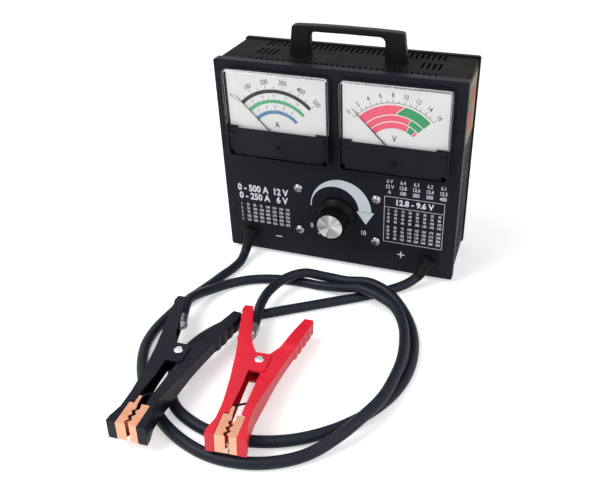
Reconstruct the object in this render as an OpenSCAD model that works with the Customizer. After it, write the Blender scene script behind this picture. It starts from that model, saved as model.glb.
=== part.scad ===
// Carbon-pile battery load tester: a sheet steel case with two moving-coil meters, a load
// knob that squeezes a stack of carbon discs, and two heavy leads with spring clamps.
// Z is up, the front panel faces -Y, and z = 0 is the surface that the feet stand on.

/* [Case] */
// Height of the case without its feet and handle
case_h = 232; // [228:1:250]
// Depth of the case from front panel to rear panel
case_d = 88; // [87:1:110]
// Thickness of the sheet steel
sheet = 1.2; // [1:0.1:1.5]
// Depth of the front panel's edge, folded back round the cover
front_flange = 10; // [7:0.5:11]
// Depth of the rear panel's folded edge
rear_flange = 5; // [4:0.5:6]
// Clearance between folded sheets that slide into each other
sheet_fit = 0.3; // [0.2:0.05:0.5]
// Outside radius of the case's folds
bend_r = 2.5; // [2:0.1:3]
// Height of the rubber feet
foot_h = 5; // [3:0.5:8]
// Diameter of the rubber feet
foot_d = 16; // [12:1:18]
// Distance of the feet's centres from the sides of the case
foot_side = 20; // [16:1:30]
// Distance of the feet's centres from the front and rear panels
foot_end = 17; // [15:1:30]

/* [Vents] */
// Width of a ventilation slot
slot_w = 2.4; // [1.6:0.2:3]
// Distance from one slot to the next
slot_pitch = 6; // [5:0.5:8]
// Width of the long rows of slots in the top
vent_w = 200; // [150:2:220]
// Distance of the top's front row of slots from the front panel
front_row = 16.5; // [15:0.5:18]
// Distance of the top's middle row of slots from the front panel
mid_row = 42.5; // [40:0.5:46]
// Distance of the top's rear row of slots from the rear panel
rear_row = 16; // [15:0.5:18]
// Width of the block of slots at each end of the top's middle row
mid_row_w = 18; // [6:6:30]
// Length of the slots in the top's rear row
rear_slot_l = 18; // [10:1:19]
// Length of the slots at the ends of the top's middle row
mid_slot_l = 20; // [10:1:22]
// Length of the slots in the top's front row
front_slot_l = 8; // [5:0.5:10]
// Length of the side slots
side_slot_l = 14; // [8:1:16]
// Gap between the columns of side slots
side_slot_gap = 7; // [4:0.5:8]

/* [Handle] */
// Height of the carrying handle above the case
handle_h = 33; // [30:1:40]
// Width of the handle over its feet
handle_w = 129; // [120:1:140]
// Depth of the handle, front to back
handle_d = 12; // [11:0.5:16]
// Width of the finger opening
grip_w = 82; // [76:1:86]
// Thickness of the bar that the fingers hold
grip_t = 7; // [5:0.5:9]
// Distance of the handle's middle from the front panel
handle_back = 45; // [40:1:48]
// Length of the screws' reach into the handle
handle_screw_l = 12; // [8:1:14]

/* [Meters] */
// Width of a meter. The case is as wide as two meters, their gap and their margins.
meter_w = 118; // [112:1:122]
// Gap between the two meters
meter_gap = 10.5; // [8:0.5:20]
// Space from a meter to the side of the case
meter_margin = 11.75; // [11:0.25:20]
// Space from the meters to the top of the case
meter_drop = 7.5; // [6:0.5:12]
// Height of a meter
meter_h = 99.5; // [96:0.5:104]
// How far a meter stands out of the front panel
meter_proud = 11; // [10:0.5:14]
// Height of the dial window
window_h = 65; // [61:0.5:67]
// Diameter of the meter's barrel behind the panel
barrel_d = 70; // [64:1:74]
// Length of the meter's barrel behind the panel
barrel_l = 34; // [30:1:40]
// Wall of the clear meter cover
cover_wall = 2; // [1.5:0.1:2.5]
// Length of the pointer from its pivot
pointer_l = 64; // [50:1:66]
// Angle that the pointer swings through, zero to full scale
pointer_swing = 90; // [60:1:100]

/* [Load control] */
// Diameter of the knob at its skirt
knob_d = 45; // [40:1:50]
// Diameter of the knob's grip
knob_grip_d = 34; // [33:1:38]
// How far the knob's face stands out of the panel
knob_reach = 27.5; // [25:0.5:34]
// Diameter of the knob's metal cap
cap_d = 30; // [24:1:31]
// Diameter of the load screw
screw_d = 12; // [10:0.5:13]
// Lead of the load screw's thread
screw_lead = 2.5; // [1:0.25:3]
// Turn of the knob from off to full load, in degrees
knob_turn = 243; // [180:1:300]

/* [Carbon pile] */
// Diameter of a carbon disc
disc_d = 64; // [56:1:68]
// Thickness of a carbon disc
disc_t = 2.2; // [1.6:0.1:2.2]
// Number of carbon discs
disc_count = 20; // [12:1:20]
// Diameter of the ceramic tube through the discs
guide_d = 14; // [12:0.5:16]
// Distance between the pile screws, left to right
rod_span_x = 91; // [84:1:96]
// Distance between the pile screws, up and down
rod_span_z = 54.7; // [50:0.1:60]
// Diameter of the pile screws
rod_d = 6; // [5:0.5:7]
// Thickness of the yoke plates
yoke_t = 4; // [3:0.5:4.5]

/* [Leads] */
// Diameter of the battery leads over their jacket
cord_d = 10.5; // [9:0.5:11]
// Diameter of the cable gland's collar
gland_d = 22; // [20:0.5:26]
// Distance of each gland from the side of the case
gland_side = 27; // [24:1:35]
// Height of each gland above the case's floor
gland_rise = 23; // [20:0.5:30]

/* [Clamps] */
// Height of the clamp's arms at the handles
clamp_h = 15; // [14:0.5:18]
// Height of the clamp's nose
nose_h = 20; // [19:0.5:24]
// Thickness of the clamp's sheet steel
clamp_t = 1.2; // [1:0.1:1.4]
// Length of the handle that holds the lead, from the pivot
fixed_handle_l = 76; // [70:1:80]
// Length of the moving handle, from the pivot
moving_handle_l = 68; // [62:1:72]
// Length of the clamp from its pivot to its nose
nose_l = 97; // [92:1:100]
// Diameter of the pivot rivet
rivet_d = 5; // [4:0.25:6]
// How far the teeth of a jaw reach into the other jaw
tooth_h = 2.6; // [1.5:0.1:3]
// Angle that a clamp opens
clamp_open = 18; // [10:1:20]

/* [Hidden] */
$fn = 48;

eps = 0.01;
run_fit = 0.05;       // radial clearance of a shaft in its hole
free_fit = 0.2;       // clearance round a fastener or between stacked plates

// Case
case_w = 2 * (meter_w + meter_margin) + meter_gap;
rear_head = 1.5;
front_y = knob_reach - (knob_reach + case_d + rear_head) / 2;
rear_y = front_y + case_d;
case_z = foot_h;
case_top = foot_h + case_h;
step = sheet + sheet_fit;
cover_w = case_w - 2 * step;
cover_top = case_top - step;
lip = 9;
edge_screw_x = case_w / 2 - 5.5;
edge_screw_z = [case_z + 52, case_top - 55];
edge_screw_d = 4;
edge_head_d = 7.5;
base_top = case_z + step + sheet;
foot_x = case_w / 2 - foot_side;
foot_y = [front_y + foot_end, rear_y - foot_end];

// Handle
handle_y = front_y + handle_back;
handle_screw_x = (handle_w + grip_w) / 4;
handle_screw_d = 5;
handle_corner = 12;
handle_lean = 5;
handle_z = cover_top + eps;

// Meters
meter_x = (meter_w + meter_gap) / 2;
meter_top = case_top - meter_drop;
meter_z = meter_top - meter_h / 2;
meter_r = 5;
base_t = 2.5;
window_z = meter_top - window_h;
pivot_drop = 8.7;
pivot_z = window_z - pivot_drop;
barrel_z = meter_z - meter_h / 2 + barrel_d / 2 + 6;
barrel_wall = 2.5;
stud_x = meter_w / 2 - 9;
stud_z = meter_h / 2 - 9;
stud_d = 4;
cover_front = front_y - meter_proud;
cover_back = front_y - base_t - 0.05;
dial_y = front_y - base_t - 2;
dial_t = 0.8;
needle_y = dial_y - 2.2;
needle_t = 0.4;
mask_t = 1.2;
mask_y = cover_front + cover_wall + 0.4;
mask_screw_x = meter_w / 2 - 6;
mask_screw_z = window_z - 7.2;
mask_step = 2.5;
zero_drop = 12;
zero_z = pivot_z - zero_drop;
zero_d = 8;
ring_r = 15;
ring_l = 14;
ring_y = front_y + 3;

// Load control
knob_z = case_z + 62.7;
knob_gap = 1;
off_angle = 212;
bush_d = screw_d + 4;
bush_flange = 3;
bush_flange_d = bush_d + 8;
yoke_y = front_y + sheet;
yoke_w = rod_span_x + 15;
yoke_h = rod_span_z + 15;
collar_t = 3;
travel = knob_turn / 360 * screw_lead;
plate_y = yoke_y + yoke_t + collar_t + 3.8;
plate_t = 6;
electrode_t = 2;
pile_y = plate_y + plate_t + electrode_t + travel + 0.11;
disc_pitch = disc_t + 0.05;
pile_end = pile_y + disc_count * disc_pitch;
insulator_t = 3;
rear_yoke_y = pile_end + electrode_t + insulator_t;
rod_tail = 7;
rod_end = rear_yoke_y + yoke_t + rod_tail;
nut_t = 5;
collar_rim = 3.5;
knob_web = 6;
guide_wall = 3;
rod_x = rod_span_x / 2;
rod_z = rod_span_z / 2;
washer_d = 11;
head_d = 8.4;

// Glands and leads
gland_x = case_w / 2 - gland_side;
gland_z = case_z + gland_rise;
gland_barrel_d = 16;
gland_collar_t = 2.5;
gland_inner_t = 5;
snout_l = 12;
snout_root = 5;
snout_tilt = 45;
snout_yaw = [0, -35];
snout_d = cord_d + 1.6;

// Inside wiring
strap_t = 2;
strap_w = 14;
strap_gap = 6;
shunt_y = [front_y + 20, front_y + 66];
lead_y = front_y + sheet + gland_inner_t + eps;

// Clamps
clamp_waist = 23;
clamp_splay = 0.2;
lobe_r = 9;
arm_gap = 5.5;
jaw_l = 25.5;
nose_half = 17.5;
spring_r = 6.5;
spring_wire = 1.8;
spring_turns = 4;
black_place = [-88, -245, 20.9];
black_turn = [-1.25, 2, 3];
red_place = [-10.9, -235, 20.5];
red_turn = [-2.5, 3, 7];
crimp_at = [[-20, 47], [-21, 47]];
crimp_turns = [20, 0];
crimp_l = 12;
jumper_d = 2;

// Routes of the two leads: hand-chosen points from gland to clamp
lead_lift = cord_d / 2 + 0.05;
function snout_dir(yaw) = turn_z([0, -cos(snout_tilt), -sin(snout_tilt)], yaw);
function snout_end(yaw) = [0, front_y - gland_collar_t, gland_z] + snout_l * snout_dir(yaw);

// ---------------------------------------------------------------- shared shapes

// A straight pin or bore along Y, from y0 to y1
module along_y(d, y0, y1, x = 0, z = 0, fn = $fn)
  translate([x, y1, z]) rotate([90, 0, 0]) cylinder(d = d, h = y1 - y0, $fn = fn);

// A plate facing Y with rounded corners
module face_plate(w, h, y0, y1, r, x = 0, z = 0)
  translate([x, y1, z]) rotate([90, 0, 0]) linear_extrude(y1 - y0) rounded(w, h, r);

// A rectangle with round corners, centred
module rounded(w, h, r) {
  square([w - 2 * r, h], center = true);
  square([w, h - 2 * r], center = true);
  for (x = [-1, 1], y = [-1, 1]) translate([x * (w / 2 - r), y * (h / 2 - r)]) circle(r);
}

// A box between two corners
module box(a, b) translate(a) cube(b - a);

// A round-ended slot along its own Y axis
module slot2d(l) {
  square([slot_w, l - slot_w], center = true);
  for (s = [-1, 1]) translate([0, s * (l - slot_w) / 2]) circle(d = slot_w, $fn = 16);
}

// Both sides of the case
module both_sides() {
  children();
  mirror([1, 0, 0]) children();
}

// A tube swept along a list of points with flat-sided rings
function unit(v) = v / norm(v);
function heading(p, i) =
  i == 0 ? unit(p[1] - p[0]) :
  i == len(p) - 1 ? unit(p[i] - p[i - 1]) :
  unit(unit(p[i] - p[i - 1]) + unit(p[i + 1] - p[i]));
function ring_point(c, t, up, d, a) =
  let (s = unit(cross(t, up)), n = cross(s, t)) c + d / 2 * (cos(a) * s + sin(a) * n);
module tube(p, d, sides, up = [0, 0, 1], first = undef, last = undef) {
  n = len(p);
  dirs = [for (i = [0 : n - 1])
    i == 0 && first != undef ? first : i == n - 1 && last != undef ? last : heading(p, i)];
  points = [for (i = [0 : n - 1], k = [0 : sides - 1])
    ring_point(p[i], dirs[i], up, d, 360 / sides * (k + 0.5))];
  walls = [for (i = [0 : n - 2], k = [0 : sides - 1]) let (j = (k + 1) % sides)
    [i * sides + k, i * sides + j, (i + 1) * sides + j, (i + 1) * sides + k]];
  ends = [[for (k = [sides - 1 : -1 : 0]) k], [for (k = [0 : sides - 1]) (n - 1) * sides + k]];
  polyhedron(points, concat(walls, ends), convexity = 8);
}

// ---------------------------------------------------------------- case

module edge_screw_holes(y0, y1)
  for (x = [-edge_screw_x, edge_screw_x], z = edge_screw_z)
    along_y(edge_screw_d + free_fit, y0, y1, x, z, 24);

module case_tray(y_face, depth, dir) {
  // dir is 1 where the folded edge runs towards +Y, and -1 towards -Y
  y0 = dir > 0 ? y_face : y_face - depth;
  i0 = dir > 0 ? y_face + sheet : y_face - depth - eps;
  i1 = dir > 0 ? y_face + depth + eps : y_face - sheet;
  difference() {
    face_plate(case_w, case_h, y0, y0 + depth, bend_r, 0, case_z + case_h / 2);
    face_plate(case_w - 2 * sheet, case_h - 2 * sheet, i0, i1, bend_r - sheet, 0, case_z + case_h / 2);
  }
}

module front_panel() color([0.10, 0.10, 0.12]) difference() {
  case_tray(front_y, front_flange, 1);
  for (s = [-1, 1]) {
    along_y(barrel_d + 2, front_y - 1, front_y + sheet + 1, s * meter_x, barrel_z);
    along_y(gland_barrel_d + free_fit, front_y - 1, front_y + sheet + 1, s * gland_x, gland_z);
    for (u = [-1, 1], v = [-1, 1])
      along_y(stud_d + free_fit, front_y - 1, front_y + sheet + 1,
        s * meter_x + u * stud_x, meter_z + v * stud_z, 24);
  }
  for (x = [-rod_x, rod_x], z = [-rod_z, rod_z])
    along_y(rod_d + free_fit, front_y - 1, front_y + sheet + 1, x, knob_z + z, 24);
  along_y(bush_d + free_fit, front_y - 1, front_y + sheet + 1, 0, knob_z);
  edge_screw_holes(front_y - 1, front_y + sheet + 1);
}

// Row of slots across the top, centred on y
module top_row(x0, x1, y, l)
  for (x = [x0 : slot_pitch : x1 + eps])
    translate([x, y, cover_top - sheet - 1]) linear_extrude(sheet + 2) slot2d(l);

side_columns = 3;
side_rows = 14;
side_pitch = 8;
side_row_z = case_z + 30;
module side_slots()
  for (c = [0 : side_columns - 1], r = [0 : side_rows - 1])
    translate([cover_w / 2 - sheet - 1, (front_y + rear_y) / 2 + (c - 1) * (side_slot_l + side_slot_gap),
      side_row_z + r * side_pitch])
      rotate([0, 90, 0]) linear_extrude(sheet + 2) slot2d(side_slot_l);

module wrap_cover() {
  y0 = front_y + step;
  y1 = rear_y - step;
  z0 = case_z + step;
  half = vent_w / 2 - slot_pitch / 6;
  count = floor(half / slot_pitch);
  color([0.09, 0.09, 0.11]) difference() {
    face_plate(cover_w, cover_top - z0, y0, y1, bend_r, 0, (cover_top + z0) / 2);
    box([-cover_w / 2 + sheet, y0 + sheet, z0 - 1], [cover_w / 2 - sheet, y1 - sheet, cover_top - sheet]);
    for (y = [[y0 - 1, y0 + sheet + eps], [y1 - sheet - eps, y1 + 1]])
      box([-cover_w / 2 + lip, y[0], z0 - 1], [cover_w / 2 - lip, y[1], cover_top - lip]);
    edge_screw_holes(y0 - 1, y1 + 1);
    top_row(-(count + 0.5) * slot_pitch, (count + 0.5) * slot_pitch, rear_y - rear_row, rear_slot_l);
    both_sides() top_row((count + 0.5) * slot_pitch - mid_row_w, (count + 0.5) * slot_pitch,
      front_y + mid_row, mid_slot_l);
    top_row(-(count + 0.5) * slot_pitch, (count + 0.5) * slot_pitch, front_y + front_row, front_slot_l);
    both_sides() side_slots();
    for (s = [-1, 1]) translate([s * handle_screw_x, handle_y, cover_top - sheet - 1])
      cylinder(d = handle_screw_d + free_fit, h = sheet + 2);
  }
}

module rear_panel() color([0.09, 0.09, 0.11]) difference() {
  case_tray(rear_y, rear_flange, -1);
  edge_screw_holes(rear_y - sheet - 1, rear_y + 1);
  for (row = [0 : 2], i = [-10 : 10])
    translate([i * slot_pitch * 1.5, rear_y + 1, knob_z + (row - 1) * 26]) rotate([90, 0, 0])
      linear_extrude(sheet + 2) slot2d(rear_slot_l);
}

module base_plate() color([0.2, 0.2, 0.22]) difference() {
  x = cover_w / 2 - step;
  y0 = front_y + 2 * step;
  y1 = rear_y - 2 * step;
  union() {
    box([-x, y0, case_z + step], [x, y1, base_top]);
    both_sides() box([x - sheet, y0 + lip, base_top - eps], [x, y1 - lip, base_top + lip]);
  }
  for (x = [-foot_x, foot_x], y = foot_y)
    translate([x, y, case_z]) cylinder(d = edge_screw_d + free_fit, h = 10, $fn = 24);
  for (i = [-7 : 7], row = [-1, 1])
    translate([i * slot_pitch * 2, (front_y + rear_y) / 2 + row * 15, case_z])
      linear_extrude(10) slot2d(rear_slot_l);
}

module feet() color([0.05, 0.05, 0.05])
  for (x = [-foot_x, foot_x], y = foot_y) translate([x, y, 0]) difference() {
    union() {
      cylinder(d1 = foot_d - 2, d2 = foot_d, h = case_z - eps);
      cylinder(d = 12, h = case_z + step - eps);
    }
    translate([0, 0, -1]) cylinder(d = 9, h = 3.2);
    cylinder(d = edge_screw_d + free_fit, h = 20, $fn = 24);
  }

// The front panel's edge passes under the base plate only at the front and rear, so the
// screws of the feet run straight from rubber to plate
module foot_screws()
  for (x = [-foot_x, foot_x], y = foot_y) translate([x, y, 0]) {
    translate([0, 0, 1]) cylinder(d1 = 5, d2 = 8, h = 1.2);
    translate([0, 0, 2.2 - eps]) cylinder(d = edge_screw_d, h = base_top + 4 - 2.2, $fn = 24);
    translate([0, 0, base_top + eps]) cylinder(d = 7.5, h = 3, $fn = 6);
  }

module pan_screw(x, z, y_head, dir, l)
  translate([x, y_head, z]) rotate([dir > 0 ? -90 : 90, 0, 0]) {
    translate([0, 0, -rear_head]) cylinder(d1 = edge_head_d - 2, d2 = edge_head_d, h = rear_head);
    translate([0, 0, -eps]) cylinder(d = edge_screw_d, h = l, $fn = 24);
  }

module case_screws() color([0.07, 0.07, 0.08]) {
  for (x = [-edge_screw_x, edge_screw_x], z = edge_screw_z) {
    pan_screw(x, z, front_y - eps, 1, 8);
    pan_screw(x, z, rear_y + eps, -1, 8);
  }
  foot_screws();
}

// ---------------------------------------------------------------- handle

module handle() {
  w0 = handle_w / 2;
  w1 = handle_w / 2 - handle_lean;
  g = grip_w / 2;
  top = handle_h - grip_t;
  crown = 2;
  color([0.05, 0.05, 0.06]) translate([0, handle_y, handle_z]) difference() {
    intersection() {
      translate([0, handle_d / 2, 0]) rotate([90, 0, 0]) linear_extrude(handle_d) union() {
        polygon([[-w0, 0], [w0, 0], [w0 - 0.5, 8], [w1, handle_h - 8], [w1 - 2, handle_h - 4],
          [w1 - 6, handle_h - crown], [w1 / 2, handle_h - 0.5], [0, handle_h],
          [-w1 / 2, handle_h - 0.5], [-w1 + 6, handle_h - crown], [-w1 + 2, handle_h - 4],
          [-w1, handle_h - 8], [-w0 + 0.5, 8]]);
      }
      rotate([90, 0, 90]) translate([0, 0, -w0 - 1]) linear_extrude(2 * w0 + 2)
        polygon([[-handle_d / 2, 0], [handle_d / 2, 0], [handle_d / 2, handle_h - 3],
          [handle_d / 2 - 1, handle_h - 1], [handle_d / 2 - 3, handle_h],
          [-handle_d / 2 + 3, handle_h], [-handle_d / 2 + 1, handle_h - 1],
          [-handle_d / 2, handle_h - 3]]);
    }
    translate([0, handle_d / 2 + 1, 0]) rotate([90, 0, 0]) linear_extrude(handle_d + 2) {
      translate([0, (top - handle_corner) / 2 - 1]) square([2 * g, top - handle_corner + 2], center = true);
      translate([0, top / 2 - 1]) square([2 * (g - handle_corner), top + 2], center = true);
      for (s = [-1, 1]) translate([s * (g - handle_corner), top - handle_corner]) circle(handle_corner);
    }
    for (s = [-1, 1]) translate([s * handle_screw_x, 0, -1])
      cylinder(d = handle_screw_d + 2 * run_fit, h = handle_screw_l + 3);
  }
}

module handle_screws() color([0.7, 0.7, 0.72])
  for (s = [-1, 1]) translate([s * handle_screw_x, handle_y, 0]) {
    translate([0, 0, cover_top - sheet - 1 - eps]) cylinder(d = 12, h = 1);
    translate([0, 0, cover_top - sheet - 4]) cylinder(d1 = 6, d2 = 9, h = 3);
    translate([0, 0, cover_top - sheet - 2]) cylinder(d = handle_screw_d, h = sheet + 2 + handle_screw_l);
  }

// ---------------------------------------------------------------- meters

module meter_base(mx) color([0.06, 0.06, 0.07]) difference() {
  union() {
    face_plate(meter_w, meter_h, front_y - base_t, front_y - eps, meter_r, mx, meter_z);
    along_y(barrel_d, front_y - base_t, front_y + barrel_l, mx, barrel_z);
    for (u = [-1, 1], v = [-1, 1])
      along_y(stud_d, front_y - 1, front_y + 9, mx + u * stud_x, meter_z + v * stud_z, 24);
    for (u = [-1, 1])
      along_y(7, mask_y + mask_t + 0.05, front_y - base_t + eps, mx + u * mask_screw_x, mask_screw_z);
  }
  along_y(barrel_d - 2 * barrel_wall, front_y - base_t - 1, front_y + barrel_l - barrel_wall,
    mx, barrel_z);
  for (u = [-1, 1]) {
    along_y(2.5 + 2 * run_fit, front_y - 20, front_y + 1, mx + u * mask_screw_x, mask_screw_z, 24);
    along_y(6 + free_fit, front_y + barrel_l - barrel_wall - 1, front_y + barrel_l + 1,
      mx + u * barrel_d / 4, barrel_z, 24);
  }
}

module meter_cover(mx) color([0.85, 0.9, 0.95, 0.4]) difference() {
  face_plate(meter_w - 0.6, meter_h - 0.6, cover_front, cover_back, meter_r, mx, meter_z);
  face_plate(meter_w - 0.6 - 2 * cover_wall, meter_h - 0.6 - 2 * cover_wall,
    cover_front + cover_wall, cover_back + 1, meter_r - cover_wall, mx, meter_z);
  along_y(zero_d + 2 * run_fit, cover_front - 1, cover_front + cover_wall + 1, mx, zero_z);
  for (u = [-1, 1]) {
    along_y(2.5 + 2 * run_fit, cover_front - 1, cover_front + 9, mx + u * mask_screw_x, mask_screw_z, 24);
    along_y(6, cover_front - 1, cover_front + 0.9, mx + u * mask_screw_x, mask_screw_z, 24);
  }
}

// Opaque lower part behind the clear cover, stepped up round its two screws
module meter_mask(mx) {
  w = meter_w - 0.6 - 2 * cover_wall - 2 * free_fit;
  z0 = meter_z - meter_h / 2 + 0.3 + cover_wall + free_fit;
  color([0.05, 0.05, 0.06]) difference() {
    union() {
      box([mx - w / 2, mask_y, z0 + meter_r], [mx + w / 2, mask_y + mask_t, window_z]);
      box([mx - w / 2 + meter_r, mask_y, z0], [mx + w / 2 - meter_r, mask_y + mask_t, window_z]);
      for (s = [-1, 1])
        box([mx + s * (w / 2 - 6) - 6, mask_y, window_z - eps],
          [mx + s * (w / 2 - 6) + 6, mask_y + mask_t, window_z + mask_step]);
    }
    along_y(zero_d + 2 * run_fit, mask_y - 1, mask_y + mask_t + 1, mx, zero_z);
    for (u = [-1, 1])
      along_y(2.5 + 2 * run_fit, mask_y - 1, mask_y + mask_t + 1, mx + u * mask_screw_x, mask_screw_z, 24);
  }
}

// Printed plate, carried on two tabs that stand on the base
module meter_dial(mx) {
  w = meter_w - 0.6 - 2 * cover_wall - 3;
  top = meter_top - 0.3 - cover_wall - 1;
  color([0.95, 0.95, 0.94]) {
    difference() {
      box([mx - w / 2, dial_y, window_z - 4], [mx + w / 2, dial_y + dial_t, top]);
      for (u = [-1, 1])
        along_y(9, dial_y - 1, dial_y + dial_t + 1, mx + u * mask_screw_x, mask_screw_z);
    }
    for (s = [-1, 1])
      box([mx + s * (w / 2 - 4) - 3, dial_y + dial_t - eps, meter_top - 12],
        [mx + s * (w / 2 - 4) + 3, front_y - base_t - eps, meter_top - 8]);
  }
}

// Needle, staff and coil turn together about the pivot axis
needle_rest = 135;
coil_r = 9.4;
module meter_pointer(mx) color([0.05, 0.05, 0.05]) translate([mx, 0, pivot_z]) {
  rotate([0, -needle_rest, 0]) {
    translate([0, needle_y + needle_t, 0]) rotate([90, 0, 0]) linear_extrude(needle_t)
      polygon([[0, -0.9], [20, -0.6], [pointer_l, -0.25], [pointer_l, 0.25], [20, 0.6], [0, 0.9]]);
    translate([0, needle_y + needle_t, 0]) rotate([90, 0, 0]) linear_extrude(needle_t)
      polygon([[0, -0.8], [-7.6, -0.8], [-7.6, 0.8], [0, 0.8]]);
  }
  along_y(3.2, needle_y, needle_y + 1.2);
  along_y(1.5, needle_y + eps, ring_y + ring_l - 4, 0, 0, 24);
  box([-coil_r - 0.8, ring_y - 2, -3], [coil_r + 0.8, ring_y - 0.6, 3]);
  for (s = [-1, 1]) box([s * coil_r - 0.8, ring_y - 0.7, -3], [s * coil_r + 0.8, ring_y + ring_l - 4, 3]);
}

// Yoke ring, core and the stem that holds both to the barrel's floor
module meter_magnet(mx) color([0.45, 0.45, 0.48]) {
  floor_y = front_y + barrel_l - barrel_wall;
  back = ring_y + ring_l;
  difference() {
    along_y(2 * ring_r, ring_y, back, mx, pivot_z);
    along_y(2 * ring_r - 7, ring_y - 1, back - 2.5, mx, pivot_z);
  }
  difference() {
    along_y(2 * coil_r - 3.6, ring_y, back - 2, mx, pivot_z);
    along_y(2.4, ring_y - 1, back - 2.6, mx, pivot_z, 24);
  }
  along_y(12, back - eps, floor_y - eps, mx, pivot_z);
}

module zero_screw(mx) color([0.12, 0.12, 0.13]) difference() {
  along_y(zero_d, cover_front - 0.5, mask_y + mask_t, mx, zero_z);
  box([mx - zero_d, cover_front - 1, zero_z - 0.6], [mx + zero_d, cover_front + 0.5, zero_z + 0.6]);
}

module meter_magnets() both_sides() meter_magnet(meter_x);

module meter_screws() color([0.3, 0.3, 0.32])
  for (m = [-1, 1], u = [-1, 1]) {
    x = m * meter_x + u * mask_screw_x;
    along_y(5.6, cover_front - 0.3, cover_front + 0.9 - eps, x, mask_screw_z);
    along_y(2.5, cover_front, front_y - 0.2, x, mask_screw_z, 24);
  }

module nut_on(d, y0, y1, x, z) difference() {
  along_y(d * 1.9, y0, y1, x, z, 6);
  along_y(d + 2 * run_fit, y0 - 1, y1 + 1, x, z, 24);
}

module meter_nuts() color([0.75, 0.68, 0.4])
  for (m = [-1, 1], u = [-1, 1], v = [-1, 1])
    nut_on(stud_d, front_y + sheet + eps, front_y + sheet + 3.5,
      m * meter_x + u * stud_x, meter_z + v * stud_z);

terminal_x = barrel_d / 4;
terminal_d = 6;
terminal_head_d = 10;
terminal_head_t = 3;
terminal_nut_d = 11;
terminal_nut_t = 4;
terminal_reach = 10;
module meter_terminals() color([0.78, 0.65, 0.3])
  for (m = [-1, 1], u = [-1, 1]) {
    x = m * meter_x + u * terminal_x;
    back = front_y + barrel_l;
    floor_y = back - barrel_wall;
    along_y(terminal_d, floor_y - terminal_head_t, back + terminal_reach, x, barrel_z, 24);
    along_y(terminal_head_d, floor_y - terminal_head_t, floor_y - eps, x, barrel_z);
    along_y(terminal_nut_d, back + eps, back + terminal_nut_t, x, barrel_z, 6);
  }

// ---------------------------------------------------------------- load control

knob_flutes = 20;
module load_knob() color([0.06, 0.06, 0.07]) translate([0, 0, knob_z]) {
  y_back = front_y - knob_gap;
  y_face = front_y - knob_reach;
  cap_seat = 1.4;
  difference() {
    union() {
      along_y(knob_d, y_back - 4, y_back);
      translate([0, y_back - 4 + eps, 0]) rotate([90, 0, 0])
        cylinder(d1 = knob_d, d2 = knob_grip_d + 2, h = 4);
      translate([0, y_back - 7, 0]) rotate([90, 0, 0]) linear_extrude(knob_reach - knob_gap - 7)
        difference() {
          circle(d = knob_grip_d);
          for (i = [0 : knob_flutes - 1]) rotate(360 / knob_flutes * i)
            translate([knob_grip_d / 2 + 0.7, 0]) circle(d = 3.2, $fn = 16);
        }
    }
    along_y(bush_flange_d + 1.5, y_back - bush_flange - 2, y_back + 1);
    along_y(screw_d + 2 * run_fit, y_face + knob_web, y_back + 1);
    along_y(cap_d + 2 * run_fit, y_face - 1, y_face + cap_seat);
    rotate([0, -off_angle, 0])
      box([knob_d / 2 - 4, y_back - 5, -0.9], [knob_d / 2 + 1, y_back - 2.5, 0.9]);
  }
}

module knob_cap() color([0.8, 0.8, 0.82]) translate([0, 0, knob_z]) {
  y_face = front_y - knob_reach;
  difference() {
    along_y(cap_d, y_face, y_face + 1.4 - eps);
    along_y(cap_d - 4, y_face - 1, y_face + 0.3);
  }
}

module lead_screw() color([0.7, 0.7, 0.72]) translate([0, 0, knob_z]) {
  collar_y = yoke_y + yoke_t + 0.1;
  along_y(screw_d, front_y - knob_reach + knob_web + eps, plate_y + plate_t - travel - 0.3);
  along_y(screw_d + 2 * collar_rim, collar_y, collar_y + collar_t);
}

module screw_bushing() color([0.75, 0.62, 0.3]) translate([0, 0, knob_z]) difference() {
  union() {
    along_y(bush_d, front_y - bush_flange + eps, yoke_y + yoke_t);
    along_y(bush_flange_d, front_y - bush_flange, front_y - eps);
  }
  along_y(screw_d + 2 * run_fit, front_y - bush_flange - 1, yoke_y + yoke_t + 1);
}

// Plate of the pile frame with its four screw holes
module frame_plate(y0, t, hole) difference() {
  face_plate(yoke_w, yoke_h, y0, y0 + t, 6, 0, knob_z);
  for (x = [-rod_x, rod_x], z = [-rod_z, rod_z])
    along_y(hole, y0 - 1, y0 + t + 1, x, knob_z + z, 24);
}

module front_yoke() color([0.55, 0.55, 0.58]) difference() {
  frame_plate(yoke_y + eps, yoke_t - eps, rod_d + free_fit);
  along_y(bush_d + 2 * run_fit, yoke_y - 1, yoke_y + yoke_t + 1, 0, knob_z);
}

module pile_screws() color([0.85, 0.85, 0.87])
  for (x = [-rod_x, rod_x], z = [-rod_z, rod_z]) translate([x, 0, knob_z + z]) difference() {
    union() {
      along_y(rod_d, front_y - 1, rod_end, 0, 0, 32);
      translate([0, front_y - 0.6, 0]) rotate([90, 0, 0]) cylinder(d1 = rod_d, d2 = head_d, h = 1.4);
      translate([0, front_y - 2 + eps, 0]) rotate([90, 0, 0]) cylinder(d1 = head_d, d2 = head_d - 3, h = 1.2);
    }
    box([-0.5, front_y - 4, -2.4], [0.5, front_y - 2, 2.4]);
    box([-2.4, front_y - 4, -0.5], [2.4, front_y - 2, 0.5]);
  }

module cup_washers() color([0.8, 0.8, 0.82])
  for (x = [-rod_x, rod_x], z = [-rod_z, rod_z]) translate([x, 0, knob_z + z]) difference() {
    translate([0, front_y - eps, 0]) rotate([90, 0, 0]) cylinder(d1 = washer_d, d2 = washer_d - 2, h = 1.6);
    along_y(rod_d + free_fit, front_y - 3, front_y + 1, 0, 0, 32);
    translate([0, front_y - 0.5, 0]) rotate([90, 0, 0]) cylinder(d1 = rod_d, d2 = head_d + 0.6, h = 1.3);
  }

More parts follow.
